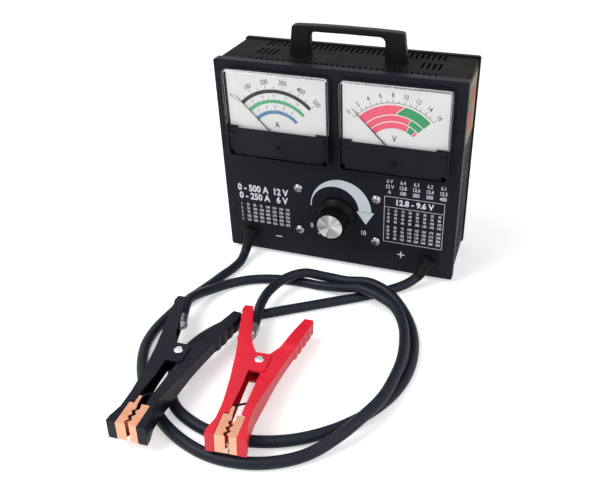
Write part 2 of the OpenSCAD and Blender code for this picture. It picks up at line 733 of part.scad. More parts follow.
module pressure_plate() color([0.55, 0.55, 0.58]) difference() {
  frame_plate(plate_y, plate_t, rod_d + 2 * run_fit);
  along_y(screw_d + 2 * run_fit, plate_y - 1, plate_y + plate_t + 1, 0, knob_z);
}

// Copper ring with a side tab that carries the current
module electrode(y0, side) difference() {
  union() {
    along_y(disc_d, y0, y0 + electrode_t, 0, knob_z);
    box([side > 0 ? 0 : -yoke_w / 2 - 4, y0, knob_z - strap_w / 2],
      [side > 0 ? yoke_w / 2 + 4 : 0, y0 + electrode_t, knob_z + strap_w / 2]);
  }
  along_y(guide_d + 4, y0 - 1, y0 + electrode_t + 1, 0, knob_z);
}

module front_electrode() color([0.8, 0.45, 0.25]) electrode(plate_y + plate_t + eps, -1);

module carbon_discs() color([0.13, 0.13, 0.14])
  for (i = [0 : disc_count - 1]) difference() {
    along_y(disc_d, pile_y + i * disc_pitch, pile_y + i * disc_pitch + disc_t, 0, knob_z);
    along_y(guide_d + 2 * free_fit, pile_y - 1, pile_end + 1, 0, knob_z);
  }

module guide_tube() color([0.9, 0.88, 0.82]) difference() {
  along_y(guide_d, pile_y + 0.5, rear_yoke_y - eps, 0, knob_z);
  along_y(guide_d - 2 * guide_wall, pile_y - 1, rear_yoke_y + 1, 0, knob_z);
}

module rear_electrode() color([0.8, 0.45, 0.25]) electrode(pile_end, 1);

module rear_insulator() color([0.75, 0.65, 0.45]) difference() {
  along_y(disc_d + 4, pile_end + electrode_t + eps, rear_yoke_y - eps, 0, knob_z);
  along_y(guide_d + 2 * free_fit, pile_end, rear_yoke_y + 1, 0, knob_z);
}

module rear_yoke() color([0.55, 0.55, 0.58]) frame_plate(rear_yoke_y, yoke_t, rod_d + free_fit);

module pile_nuts() color([0.7, 0.7, 0.72])
  for (x = [-rod_x, rod_x], z = [-rod_z, rod_z])
    nut_on(rod_d, rear_yoke_y + yoke_t + eps, rear_yoke_y + yoke_t + nut_t, x, knob_z + z);

// ---------------------------------------------------------------- wiring

block_l = 12;
block_half = 8;
leaf_half = 6;
module shunt() color([0.75, 0.62, 0.3]) {
  for (y = [shunt_y[0], shunt_y[1] - block_l])
    box([-gland_x - block_half, y, gland_z - block_half],
      [-gland_x + block_half, y + block_l, gland_z + block_half]);
  for (z = [-5, 3])
    box([-gland_x - leaf_half, shunt_y[0] + block_l - eps, gland_z + z],
      [-gland_x + leaf_half, shunt_y[1] - block_l + eps, gland_z + z + 2]);
}

// Copper strip from the shunt's far end, up beside the pile to the front electrode's tab
module negative_strap() color([0.8, 0.45, 0.25]) {
  x0 = -gland_x + block_half + eps;
  x1 = -yoke_w / 2 - strap_gap;
  y0 = plate_y + plate_t + eps;
  y1 = shunt_y[1];
  z1 = knob_z - strap_w / 2 - 0.3;
  box([x0, y1 - strap_t, gland_z - 8], [x1, y1, gland_z + 8]);
  box([x1 - strap_t, y0, gland_z - 8], [x1, y1 - strap_t + eps, gland_z + 8]);
  box([x1 - strap_t, y0, gland_z + 8 - eps], [x1, y0 + strap_w, z1]);
  box([x1 - strap_t, y0, z1 - strap_t], [-yoke_w / 2, y0 + electrode_t + travel, z1]);
}

// Copper bar from the rear electrode's tab down to the positive lead
module positive_strap() color([0.8, 0.45, 0.25]) {
  x0 = yoke_w / 2 + 4 + eps;
  z1 = gland_z - 8;
  box([x0, pile_end - 2, z1], [x0 + strap_t, pile_end + strap_w, knob_z + strap_w / 2]);
  box([x0 + strap_t - eps, pile_end - 2, z1], [gland_x + 6, pile_end - 2 + strap_t, z1 + 16]);
}

// The leads' ends inside the case
module inner_leads() color([0.08, 0.08, 0.09]) {
  along_y(cord_d, lead_y, shunt_y[0] - eps, -gland_x, gland_z);
  along_y(cord_d, lead_y, pile_end - 2 - eps, gland_x, gland_z);
}

wire_d = 2;
module meter_wires() color([0.6, 0.1, 0.1]) {
  back = front_y + barrel_l + 4 + wire_d / 2 + eps;
  x_in = meter_x - terminal_x;
  x_out = meter_x + terminal_x;
  // shunt to the amps meter
  for (w = [[shunt_y[0] + 6, -x_out], [shunt_y[1] - 6, -x_in]])
    tube([[-gland_x, w[0], gland_z + 8 + eps], [-gland_x, w[0], gland_z + 30],
      [(w[1] - gland_x) / 2, (w[0] + back) / 2, barrel_z - 45], [w[1], back, barrel_z - 20],
      [w[1], back, barrel_z - 6]], wire_d, 8, [0, 1, 0]);
  // positive strap to the volts meter
  tube([[yoke_w / 2 + 4 + strap_t / 2, pile_end + 5, knob_z + strap_w / 2 + eps],
    [yoke_w / 2 + 4 + strap_t / 2, pile_end + 5, knob_z + 30],
    [x_in, back + 4, barrel_z - 30], [x_in, back, barrel_z - 6]], wire_d, 8, [0, 1, 0]);
}

module cable_gland(x, yaw) translate([x, 0, gland_z]) {
  along_y(gland_d, front_y - gland_collar_t, front_y - eps);
  along_y(gland_barrel_d, front_y - eps, front_y + sheet + gland_inner_t);
  along_y(gland_d - 2, front_y + sheet + eps, front_y + sheet + gland_inner_t);
  translate([0, front_y - gland_collar_t, 0]) rotate([0, 0, yaw])
    rotate([90 + snout_tilt, 0, 0]) translate([0, 0, -snout_root])
      cylinder(d = snout_d, h = snout_root + snout_l);
}
module cable_glands() color([0.07, 0.07, 0.08]) {
  cable_gland(-gland_x, snout_yaw[0]);
  cable_gland(gland_x, snout_yaw[1]);
}

negative_route = [
  [-gland_x, 0, 0] + snout_end(snout_yaw[0]), [-108, -47, 14.8], [-108, -56, 9.5],
  [-108, -66, 6.6], [-111, -80, lead_lift], [-117, -99, lead_lift], [-122, -117, lead_lift],
  [-129, -138, lead_lift], [-135, -158, lead_lift], [-139, -179, lead_lift],
  [-141, -203, lead_lift], [-138, -226, lead_lift], [-128, -249, lead_lift],
  [-113, -271, lead_lift], [-93, -292, lead_lift], [-70, -310, lead_lift],
  [-44, -323, lead_lift], [-16, -330, lead_lift], [12, -329, lead_lift],
  [38, -321, lead_lift], [62, -306, lead_lift + 1], [82, -286, lead_lift + 7],
  [97, -263, 17], [107, -238, 17], [111, -212, 16], [112, -185, 14.5],
  [109, -159, 14.5], [102, -134, 15], [88, -112, 17], [67, -99, 18], [45, -92, 18],
  [21, -88, 11], [-8, -84, lead_lift], [-36, -84, lead_lift], [-62, -88, lead_lift],
  [-85, -97, lead_lift], [-103, -112, lead_lift + 1], [-115, -131, 9.5], [-121, -149, 15],
  [-121.7, -167, 19.4]
];
positive_route = [
  [gland_x, 0, 0] + snout_end(snout_yaw[1]), [101, -44.5, 15.5], [95, -51, 11],
  [86, -59, 7.5], [73, -69, 5.5], [57, -82, lead_lift], [38, -95, lead_lift],
  [16, -109, lead_lift], [-6, -123, lead_lift], [-28, -137, lead_lift],
  [-50, -152, lead_lift], [-69, -168, lead_lift], [-84, -189, lead_lift],
  [-93, -213, lead_lift], [-94, -240, lead_lift], [-87, -267, lead_lift],
  [-71, -289, lead_lift], [-47, -302, lead_lift], [-20, -308, lead_lift],
  [8, -307, lead_lift], [36, -299, lead_lift], [61, -285, lead_lift],
  [83, -266, lead_lift], [101, -243, lead_lift], [114, -217, lead_lift],
  [120, -189, lead_lift], [119, -160, lead_lift], [112, -132, lead_lift],
  [98, -107, lead_lift + 3], [77, -89, 16], [52, -79, 18], [25, -75, 12],
  [-1, -75, 12.5], [-23, -82, 17.5], [-40, -98, 17], [-48, -120, 16], [-48, -141, 17],
  [-44, -162, 18.3]
];

module negative_lead() color([0.1, 0.1, 0.12])
  tube(concat(negative_route, [crimp_mouth(black_place, black_turn, 0)]), cord_d, 10,
    first = snout_dir(snout_yaw[0]), last = crimp_dir(black_turn, 0));
module positive_lead() color([0.1, 0.1, 0.12])
  tube(concat(positive_route, [crimp_mouth(red_place, red_turn, 1)]), cord_d, 10,
    first = snout_dir(snout_yaw[1]), last = crimp_dir(red_turn, 1));

// A clamp's own point or direction, turned as rotate() does and set in place
function turn_x(v, a) = [v[0], v[1] * cos(a) - v[2] * sin(a), v[1] * sin(a) + v[2] * cos(a)];
function turn_y(v, a) = [v[0] * cos(a) + v[2] * sin(a), v[1], -v[0] * sin(a) + v[2] * cos(a)];
function turn_z(v, a) = [v[0] * cos(a) - v[1] * sin(a), v[0] * sin(a) + v[1] * cos(a), v[2]];
function turned(v, t) = turn_z(turn_y(turn_x(v, t[0]), t[1]), t[2]);
function crimp_dir(t, i) = turned([sin(crimp_turns[i]), -cos(crimp_turns[i]), 0], t);
function crimp_mouth(place, t, i) =
  place + turned([crimp_at[i][0], crimp_at[i][1], 0], t) - crimp_l / 2 * crimp_dir(t, i);

// ---------------------------------------------------------------- clamps

// Outer edge of an arm on the +X side, from nose to handle
function waist_x(y) = clamp_waist + clamp_splay * y;
grip_pitch = 10.5;
grip_bump = 1.1;
grip_from = 20;
function outer_edge(l) = concat(
  [[nose_half, -nose_l], [nose_half - 0.5, -nose_l + 6], [14, -nose_l + 17], [14, -62],
    [15.5, -50], [19, -25], [clamp_waist, 0]],
  [for (y = [grip_from : 1.5 : l - 3])
    [waist_x(y) + grip_bump * abs(sin(180 * (y - grip_from) / grip_pitch)), y]],
  [[waist_x(l) - 1, l]]);
module arm_face(l) {
  polygon(concat(outer_edge(l), [[waist_x(l) - 9.5, l + 0.5], [waist_x(47) - 12, 47],
    [15, 25], [9, 14], [lobe_r - 4, lobe_r - 1], [arm_gap, -15], [arm_gap, -nose_l + jaw_l],
    [9.8, -nose_l + jaw_l - 1], [9.8, -nose_l]]));
  lobe();
}
// Part of the cheek that reaches past the pivot
module lobe() {
  translate([-lobe_r, -15.5 + 4]) square([2 * lobe_r, 15.5 + lobe_r - 8]);
  translate([-lobe_r + 4, -15.5]) square([2 * lobe_r - 4, 15.5 + lobe_r]);
  for (y = [-15.5 + 4, lobe_r - 4]) translate([-lobe_r + 4, y]) circle(4, $fn = 24);
}

// Side view of an arm: half height along its length, less an inset
function half_height(inset, pinch) = [
  [-nose_l - 1, nose_h / 2 - inset], [-60, nose_h / 2 - inset],
  [-32, clamp_h / 2 - inset], [-24, clamp_h / 2 - inset - pinch / 2],
  [-21, clamp_h / 2 - inset - pinch], [21, clamp_h / 2 - inset - pinch],
  [26, clamp_h / 2 - inset], [90, clamp_h / 2 - inset]];
module arm_side(inset, pinch) {
  h = half_height(inset, pinch);
  rotate([90, 0, 90]) translate([0, 0, -60]) linear_extrude(120)
    polygon(concat(h, [for (i = [len(h) - 1 : -1 : 0]) [h[i][0], -h[i][1]]]));
}

// One arm: a U channel with two cheeks and an outer wall. The moving arm is pinched so
// that its cheeks turn between those of the fixed arm.
module arm(l, pinch) difference() {
  intersection() {
    translate([0, 0, -nose_h]) linear_extrude(2 * nose_h) arm_face(l);
    arm_side(0, pinch);
  }
  intersection() {
    translate([-clamp_t, 0, -nose_h]) linear_extrude(2 * nose_h)
      polygon(concat([[-60, -nose_l + 1.5], [nose_half - 0.2, -nose_l + 1.5]],
        [for (p = outer_edge(l)) if (p[1] > -nose_l + 2) p],
        [[waist_x(l), l + 9], [-60, l + 9]]));
    arm_side(clamp_t, pinch);
  }
  translate([0, 0, -nose_h]) cylinder(d = rivet_d + 2 * run_fit, h = 2 * nose_h);
}

module fixed_arm() mirror([1, 0, 0]) arm(fixed_handle_l, 0);
module moving_arm() arm(moving_handle_l, clamp_t + free_fit);

// Copper jaw: folded sheet with a zigzag biting edge, on the +X side
tooth_pitch = 6.2;
jaw_gap = 0.8;
jaw_t = 1;
function zigzag(y) = tooth_h * (abs(((y / tooth_pitch) % 1 + 1) % 1 - 0.5) * 2 - 0.5);
module jaw_face(s, tail) {
  y0 = -nose_l;
  y1 = -nose_l + jaw_l - 1.5;
  polygon(concat(
    [for (i = [0 : 2 * floor((y1 - y0) / tooth_pitch)]) let (y = y0 + i * tooth_pitch / 2)
      [jaw_gap / 2 + tooth_h / 2 + s * zigzag(y - y0), y]],
    [[jaw_gap / 2 + tooth_h / 2, y1], [2.4, y1 + tail], [arm_gap - 0.4, y1 + tail],
      [arm_gap - 0.4, y1], [jaw_w, y1], [jaw_w, y0]]));
}
jaw_w = 9.4;
jaw_seat = 12.2;
module jaw(s, tail) {
  h = nose_h / 2 - 0.5;
  hs = nose_h / 2 - clamp_t - free_fit;
  difference() {
    translate([0, 0, -h]) linear_extrude(2 * h) jaw_face(s, tail);
    box([-5, -nose_l + 1.2, -h + jaw_t], [jaw_w + 1, -nose_l + jaw_l + 20, h - jaw_t]);
  }
  // Folded seat that the arm grips
  difference() {
    box([jaw_w - jaw_t, -nose_l + 2.5, -hs], [jaw_seat, -nose_l + jaw_l - 3, hs]);
    box([jaw_w - jaw_t - 1, -nose_l + 1, -hs + jaw_t], [jaw_seat - jaw_t, -nose_l + jaw_l, hs - jaw_t]);
  }
}
module fixed_jaw() mirror([1, 0, 0]) jaw(-1, 9);
module moving_jaw() jaw(1, 0);

module rivet() {
  h = clamp_h / 2;
  cylinder(d = rivet_d, h = clamp_h + 0.4, center = true);
  for (s = [0, 1]) mirror([0, 0, s]) translate([0, 0, h + 0.05])
    cylinder(d1 = 2 * rivet_d - 0.5, d2 = rivet_d + 1, h = 1.4);
}

// Torsion spring round the rivet, with a leg to each handle
module spring() {
  rise = spring_wire + 0.15;
  z0 = -rise * spring_turns / 2;
  turns = spring_turns + 0.5;
  steps = 14;
  coil = [for (i = [0 : steps * turns]) let (a = 180 + 360 * i / steps)
    [spring_r * cos(a), spring_r * sin(a), z0 + rise * spring_turns * i / steps / turns]];
  tube(concat([[-22.5, 22, z0], [-9, 4.5, z0]], coil, [[9, 7, -z0], [14.5, 25, -z0]]),
    spring_wire, 6);
}

module crimp(i) translate([crimp_at[i][0], crimp_at[i][1], 0]) rotate(crimp_turns[i]) {
  rotate([90, 0, 0]) cylinder(d = cord_d + 1.5, h = crimp_l, center = true);
  translate([0, -crimp_l / 2 + eps, 0]) rotate([90, 0, 0]) cylinder(d1 = cord_d, d2 = 4, h = 5);
}

module jumper() tube([[-3.8, -70, 7.56], [-3.8, -64.5, 7.2], [-2.5, -59, 5.5], [1, -54, 3.5],
  [5.5, -51, 2], [9.5, -53.5, 1], [11, -60, 0.5], [10.4, -69, 0]], jumper_d, 8);

module on_black() translate(black_place) rotate(black_turn) children();
module on_red() translate(red_place) rotate(red_turn) children();
module on_both() {
  on_black() children();
  on_red() children();
}

module clamp_crimps() color([0.7, 0.72, 0.74]) {
  on_black() crimp(0);
  on_red() crimp(1);
}

black_paint = [0.09, 0.09, 0.10];
red_paint = [0.85, 0.08, 0.15];
copper = [0.85, 0.5, 0.35];

front_panel();
wrap_cover();
rear_panel();
base_plate();
feet();
case_screws();
handle();
handle_screws();
meter_base(-meter_x);  // amps_base
meter_cover(-meter_x);  // amps_cover
meter_mask(-meter_x);  // amps_mask
meter_dial(-meter_x);  // amps_dial
meter_pointer(-meter_x);  // amps_pointer
zero_screw(-meter_x);  // amps_zero_screw
meter_base(meter_x);  // volts_base
meter_cover(meter_x);  // volts_cover
meter_mask(meter_x);  // volts_mask
meter_dial(meter_x);  // volts_dial
meter_pointer(meter_x);  // volts_pointer
zero_screw(meter_x);  // volts_zero_screw
meter_magnets();
meter_screws();
meter_nuts();
meter_terminals();
load_knob();
knob_cap();
lead_screw();
screw_bushing();
front_yoke();
pile_screws();
cup_washers();
pressure_plate();
front_electrode();
carbon_discs();
guide_tube();
rear_electrode();
rear_insulator();
rear_yoke();
pile_nuts();
shunt();
negative_strap();
positive_strap();
inner_leads();
meter_wires();
cable_glands();
negative_lead();
positive_lead();
on_black() color(black_paint) fixed_arm();  // black_fixed_arm
on_black() color(black_paint) moving_arm();  // black_moving_arm
on_black() color(copper) fixed_jaw();  // black_fixed_jaw
on_black() color(copper) moving_jaw();  // black_moving_jaw
on_red() color(red_paint) fixed_arm();  // red_fixed_arm
on_red() color(red_paint) moving_arm();  // red_moving_arm
on_red() color(copper) fixed_jaw();  // red_fixed_jaw
on_red() color(copper) moving_jaw();  // red_moving_jaw
on_both() color([0.8, 0.8, 0.82]) rivet();  // clamp_rivets
on_both() color([0.25, 0.22, 0.2]) spring();  // clamp_springs
clamp_crimps();
on_both() color([0.08, 0.08, 0.09]) jumper();  // clamp_jumpers
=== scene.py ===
import math

import bmesh
import bpy
import numpy as np
from mathutils import Euler, Matrix, Vector


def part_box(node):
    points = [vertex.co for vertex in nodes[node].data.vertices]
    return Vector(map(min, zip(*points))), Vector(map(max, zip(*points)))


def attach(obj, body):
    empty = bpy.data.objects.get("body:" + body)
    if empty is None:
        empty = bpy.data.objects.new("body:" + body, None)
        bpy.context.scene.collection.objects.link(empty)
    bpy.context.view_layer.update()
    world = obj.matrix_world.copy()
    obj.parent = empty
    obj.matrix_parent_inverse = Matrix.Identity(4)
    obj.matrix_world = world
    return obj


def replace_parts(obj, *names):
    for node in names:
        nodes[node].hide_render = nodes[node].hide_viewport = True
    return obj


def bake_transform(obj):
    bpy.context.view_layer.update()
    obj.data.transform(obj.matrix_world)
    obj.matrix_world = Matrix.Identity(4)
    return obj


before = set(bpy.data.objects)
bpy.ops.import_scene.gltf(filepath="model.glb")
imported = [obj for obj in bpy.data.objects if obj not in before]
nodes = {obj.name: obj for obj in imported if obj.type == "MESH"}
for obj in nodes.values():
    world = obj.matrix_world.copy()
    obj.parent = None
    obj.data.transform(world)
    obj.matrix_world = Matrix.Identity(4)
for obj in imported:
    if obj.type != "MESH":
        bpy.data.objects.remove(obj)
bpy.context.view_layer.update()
MM = 0.001


# ---------------------------------------------------------------- view, floor and light
# A pale table top under a large soft lamp, with a second lamp and a white surround to fill
# the shadows. The camera looks down on the tester from its front right corner.
VIEW_AZIMUTH = math.radians(16.99)
VIEW_ELEVATION = math.radians(31.06)
VIEW_ROLL = math.radians(-0.21)
VIEW_PLACE = (0.2042, -0.6585, 0.4616)
VIEW_LENS = 40.764
VIEW_SENSOR = 36
VIEW_SHIFT = (-0.0792, -0.0542)
TABLE_REACH = 6.0
TABLE_GLOW = 0.45
SURROUND_LIGHT = 0.55
SEEN_RAYS = ("Is Camera Ray", "Is Transmission Ray", "Is Glossy Ray")


def display(red, green, blue):
    """Linear colour of a display colour given from 0 to 255, by the sRGB curve."""
    share = np.array([red, green, blue]) / 255
    linear = np.where(share <= 0.04045, share / 12.92, ((share + 0.055) / 1.055) ** 2.4)
    return tuple(float(x) for x in linear)


def placed(name, data):
    """New object of a mesh, lamp or camera, linked to the scene."""
    made = bpy.data.objects.new(name, data)
    bpy.context.scene.collection.objects.link(made)
    return made


def camera():
    """Camera whose axes are turned by azimuth and elevation, then rolled about its own view."""
    a, e, r = VIEW_AZIMUTH, VIEW_ELEVATION, VIEW_ROLL
    back = np.array([math.sin(a) * math.cos(e), -math.cos(a) * math.cos(e), math.sin(e)])
    level = np.array([math.cos(a), math.sin(a), 0.0])
    upright = np.cross(back, level)
    right = math.cos(r) * level + math.sin(r) * upright
    up = math.cos(r) * upright - math.sin(r) * level
    data = bpy.data.cameras.new("camera")
    data.lens = VIEW_LENS
    data.sensor_width = VIEW_SENSOR
    data.shift_x, data.shift_y = VIEW_SHIFT
    made = placed("camera", data)
    columns = np.array([right, up, back]).T
    made.matrix_world = Matrix.Translation(VIEW_PLACE) @ Matrix(columns.tolist()).to_4x4()
    bpy.context.scene.camera = made


def soft_lamp(name, place, aim, size, power):
    """Rectangular lamp at a place, turned so that it shines at aim."""
    data = bpy.data.lights.new(name, "AREA")
    data.shape = "RECTANGLE"
    data.size, data.size_y = size
    data.energy = power
    toward = Vector(np.array(aim, float) - np.array(place, float))
    turn = toward.to_track_quat("-Z", "Y").to_matrix().to_4x4()
    placed(name, data).matrix_world = Matrix.Translation(place) @ turn


def feed(tree, socket, value):
    """Sets an input to a number or a colour, or links another node's output to it."""
    if isinstance(value, (int, float)):
        socket.default_value = value
    elif isinstance(value, tuple):
        socket.default_value = (*value, 1)
    else:
        tree.links.new(value, socket)


def wired(tree, node, **sockets):
    """The node, with its named inputs fed; an underscore stands for a space."""
    for label, value in sockets.items():
        feed(tree, node.inputs[label.replace("_", " ")], value)
    return node


def math_node(tree, operation, *values):
    """Result of a Math node on numbers and sockets."""
    node = tree.nodes.new("ShaderNodeMath")
    node.operation = operation
    for socket, value in zip(node.inputs, values):
        feed(tree, socket, value)
    return node.outputs[0]


def path_share(tree, *rays):
    """Socket that is 1 for the named kinds of ray and 0 for the rest."""
    path = tree.nodes.new("ShaderNodeLightPath")
    found = path.outputs[rays[0]]
    for ray in rays[1:]:
        found = math_node(tree, "MAXIMUM", found, path.outputs[ray])
    return found


def mix_shaders(tree, share, first, second, output):
    """Feeds the output node with a mix of two shaders by a share."""
    mix = tree.nodes.new("ShaderNodeMixShader")
    for socket, value in zip(mix.inputs, (share, first, second)):
        feed(tree, socket, value)
    wired(tree, tree.nodes[output], Surface=mix.outputs[0])


def surround():
    """World that lights the object softly, and that the eye, gloss and glass see as white."""
    world = bpy.data.worlds.new("surround")
    bpy.context.scene.world = world
    world.use_nodes = True
    tree = world.node_tree
    light = wired(tree, tree.nodes["Background"], Color=(1, 1, 1), Strength=SURROUND_LIGHT)
    white = wired(tree, tree.nodes.new("ShaderNodeBackground"), Color=(1, 1, 1), Strength=1)
    mix_shaders(tree, path_share(tree, *SEEN_RAYS), light.outputs[0], white.outputs[0],
                "World Output")


def new_material(name, **sockets):
    """Material with its node tree and its Principled shader, which gets the given values."""
    made = bpy.data.materials.new(name)
    made.use_nodes = True
    tree = made.node_tree
    return made, tree, wired(tree, tree.nodes["Principled BSDF"], **sockets)


def table_top():
    """Wide flat floor, white to the eye where no shadow falls on it."""
    mesh = bpy.data.meshes.new("table_top")
    corners = [(x * TABLE_REACH, y * TABLE_REACH, 0)
               for x, y in ((-1, -1), (1, -1), (1, 1), (-1, 1))]
    mesh.from_pydata(corners, [], [(0, 1, 2, 3)])
    top, tree, shader = new_material("table_top", Base_Color=(0.8, 0.8, 0.8), Roughness=0.7,
                                     Specular_IOR_Level=0.1)
    glow = wired(tree, tree.nodes.new("ShaderNodeEmission"), Strength=TABLE_GLOW)
    both = tree.nodes.new("ShaderNodeAddShader")
    for socket, part in zip(both.inputs, (shader, glow)):
        feed(tree, socket, part.outputs[0])
    mix_shaders(tree, path_share(tree, *SEEN_RAYS), shader.outputs[0], both.outputs[0],
                "Material Output")
    mesh.materials.append(top)
    placed("table_top", mesh)


camera()
surround()
table_top()
soft_lamp("key_lamp", place=(-0.9, -0.8, 1.6), aim=(0, -0.1, 0.05), size=(1.2, 1.2), power=26)
soft_lamp("fill_lamp", place=(1.4, -0.9, 0.9), aim=(0, -0.1, 0.1), size=(1.0, 1.0), power=9)
bpy.context.scene.view_settings.view_transform = "Standard"


# ---------------------------------------------------------------- battery leads
# Two heavy single-core leads in smooth black rubber jackets. Each comes out of its gland, lies
# on the table in loose curves and ends in the crimp of its clamp. LIFT is the height of a
# lead's middle where it lies flat.
CORD_D = 10.5
LIFT = 5.3
NEGATIVE_ROUTE = [
    (-108, -41.985, 19.515), (-108, -47, 14.8), (-108, -56, 9.5), (-108, -66, 6.6),
    (-111, -80, LIFT), (-117, -99, LIFT), (-122, -117, LIFT), (-129, -138, LIFT),
    (-135, -158, LIFT), (-139, -179, LIFT), (-141, -203, LIFT), (-138, -226, LIFT),
    (-128, -249, LIFT), (-113, -271, LIFT), (-93, -292, LIFT), (-70, -310, LIFT),
    (-44, -323, LIFT), (-16, -330, LIFT), (12, -329, LIFT), (38, -321, LIFT),
    (62, -306, LIFT + 1), (82, -286, LIFT + 7), (97, -263, 17), (107, -238, 17),
    (111, -212, 16), (112, -185, 14.5), (109, -159, 14.5), (102, -134, 15), (88, -112, 17),
    (67, -99, 18), (45, -92, 18), (21, -88, 11), (-8, -84, LIFT), (-36, -84, LIFT),
    (-62, -88, LIFT), (-85, -97, LIFT), (-103, -112, LIFT + 1), (-115, -131, 9.5),
    (-121, -149, 15), (-121.7, -167, 19.4), (-112.8, -193.6, 20.52),
]
POSITIVE_ROUTE = [
    (103.133, -40.451, 19.515), (101, -44.5, 15.5), (95, -51, 11), (86, -59, 7.5),
    (73, -69, 5.5), (57, -82, LIFT), (38, -95, LIFT), (16, -109, LIFT), (-6, -123, LIFT),
    (-28, -137, LIFT), (-50, -152, LIFT), (-69, -168, LIFT), (-84, -189, LIFT),
    (-93, -213, LIFT), (-94, -240, LIFT), (-87, -267, LIFT), (-71, -289, LIFT),
    (-47, -302, LIFT), (-20, -308, LIFT), (8, -307, LIFT), (36, -299, LIFT), (61, -285, LIFT),
    (83, -266, LIFT), (101, -243, LIFT), (114, -217, LIFT), (120, -189, LIFT),
    (119, -160, LIFT), (112, -132, LIFT), (98, -107, LIFT + 3), (77, -89, 16), (52, -79, 18),
    (25, -75, 12), (-1, -75, 12.5), (-23, -82, 17.5), (-40, -98, 17), (-48, -120, 16),
    (-48, -141, 17), (-44, -162, 18.3), (-38.29, -185.02, 19.29),
]


def walked_along(line):
    """Distance from a line's start to each of its points."""
    return np.concatenate([[0], np.cumsum(np.linalg.norm(np.diff(line, axis=0), axis=1))])


def smooth_line(points, step):
    """Points a step apart along a Catmull-Rom curve through the given points: each stretch is
    the cubic whose slopes at its ends are half the difference of the neighbours."""
    p = np.array(points, float) * MM
    p = np.vstack([2 * p[0] - p[1], p, 2 * p[-1] - p[-2]])
    t = np.linspace(0, 1, 24, endpoint=False)[None, :, None]
    a, b, c, d = (p[i : len(p) - 3 + i, None, :] for i in range(4))
    line = 0.5 * (2 * b + (c - a) * t + (2 * a - 5 * b + 4 * c - d) * t**2
                  + (3 * b - a - 3 * c + d) * t**3)
    line = np.vstack([line.reshape(-1, 3), p[-2]])
    walked = walked_along(line)
    at = np.linspace(0, walked[-1], int(round(walked[-1] / (step * MM))) + 1)
    return np.stack([np.interp(at, walked, line[:, k]) for k in range(3)], axis=1)


def rings_along(line, radii, sides, up=(0, 0, 1)):
    """Rings round a line: at each point, a circle in the plane square to the line, whose first
    point lies to the side of up."""
    forward = np.gradient(line, axis=0)
    forward /= np.linalg.norm(forward, axis=1)[:, None]
    side = np.cross(forward, np.array(up, float))
    side /= np.linalg.norm(side, axis=1)[:, None]
    over = np.cross(side, forward)
    angle = np.linspace(0, 2 * math.pi, sides, endpoint=False)
    offset = (np.cos(angle)[None, :, None] * side[:, None, :]
              + np.sin(angle)[None, :, None] * over[:, None, :])
    return line[:, None, :] + np.broadcast_to(radii, len(line))[:, None, None] * offset


def skin(name, rings, sharp=40):
    """Closed mesh over rows of ring points: neighbours are joined by four-sided faces, and the
    first and last rows are closed by flat lids. The faces are turned round where the signed
    volume comes out negative, and edges steeper than the sharp angle stay sharp."""
    rows, count, _ = rings.shape
    index = np.arange(rows * count).reshape(rows, count)
    lids = [index[0, ::-1].tolist(), index[-1].tolist()]
    near, far = index[:-1], index[1:]
    quads = np.stack([near, np.roll(near, -1, 1), np.roll(far, -1, 1), far], -1).reshape(-1, 4)
    points = rings.reshape(-1, 3)
    a, b, c, d = (points[quads[:, k]] - points.mean(0) for k in range(4))
    volume = (np.cross(a, b) * c).sum() + (np.cross(a, c) * d).sum()
    faces = quads.tolist() + lids
    if volume < 0:
        faces = [face[::-1] for face in faces]
    mesh = bpy.data.meshes.new(name)
    mesh.from_pydata(points.tolist(), [], faces)
    mesh.validate()
    mesh.polygons.foreach_set("use_smooth", np.ones(len(mesh.polygons), bool))
    mesh.set_sharp_from_angle(angle=math.radians(sharp))
    return mesh


def socket_group(name, inputs, outputs):
    """Empty shader node group with the named sockets. Each input has its kind and value."""
    group = bpy.data.node_groups.new(name, "ShaderNodeTree")
    for label, (kind, value) in inputs.items():
        made = group.interface.new_socket(name=label, in_out="INPUT", socket_type=kind)
        made.default_value = value
    for label, kind in outputs.items():
        group.interface.new_socket(name=label, in_out="OUTPUT", socket_type=kind)
    start = group.nodes.new("NodeGroupInput")
    end = group.nodes.new("NodeGroupOutput")
    return group, start.outputs, end.inputs


def noise_of(tree, scale, detail=3.0, place=None):
    """Noise in cells a metre, over Object coordinates or a given place."""
    if place is None:
        place = tree.nodes.new("ShaderNodeTexCoord").outputs["Object"]
    noise = tree.nodes.new("ShaderNodeTexNoise")
    return wired(tree, noise, Vector=place, Scale=scale, Detail=detail).outputs["Fac"]


def mix_colour(tree, share, first, second, blend="MIX"):
    """Mix of two colours by a share; each may be a colour or a socket."""
    node = tree.nodes.new("ShaderNodeMix")
    node.data_type = "RGBA"
    node.blend_type = blend
    for socket, value in ((0, share), (6, first), (7, second)):
        feed(tree, node.inputs[socket], value)
    return node.outputs[2]


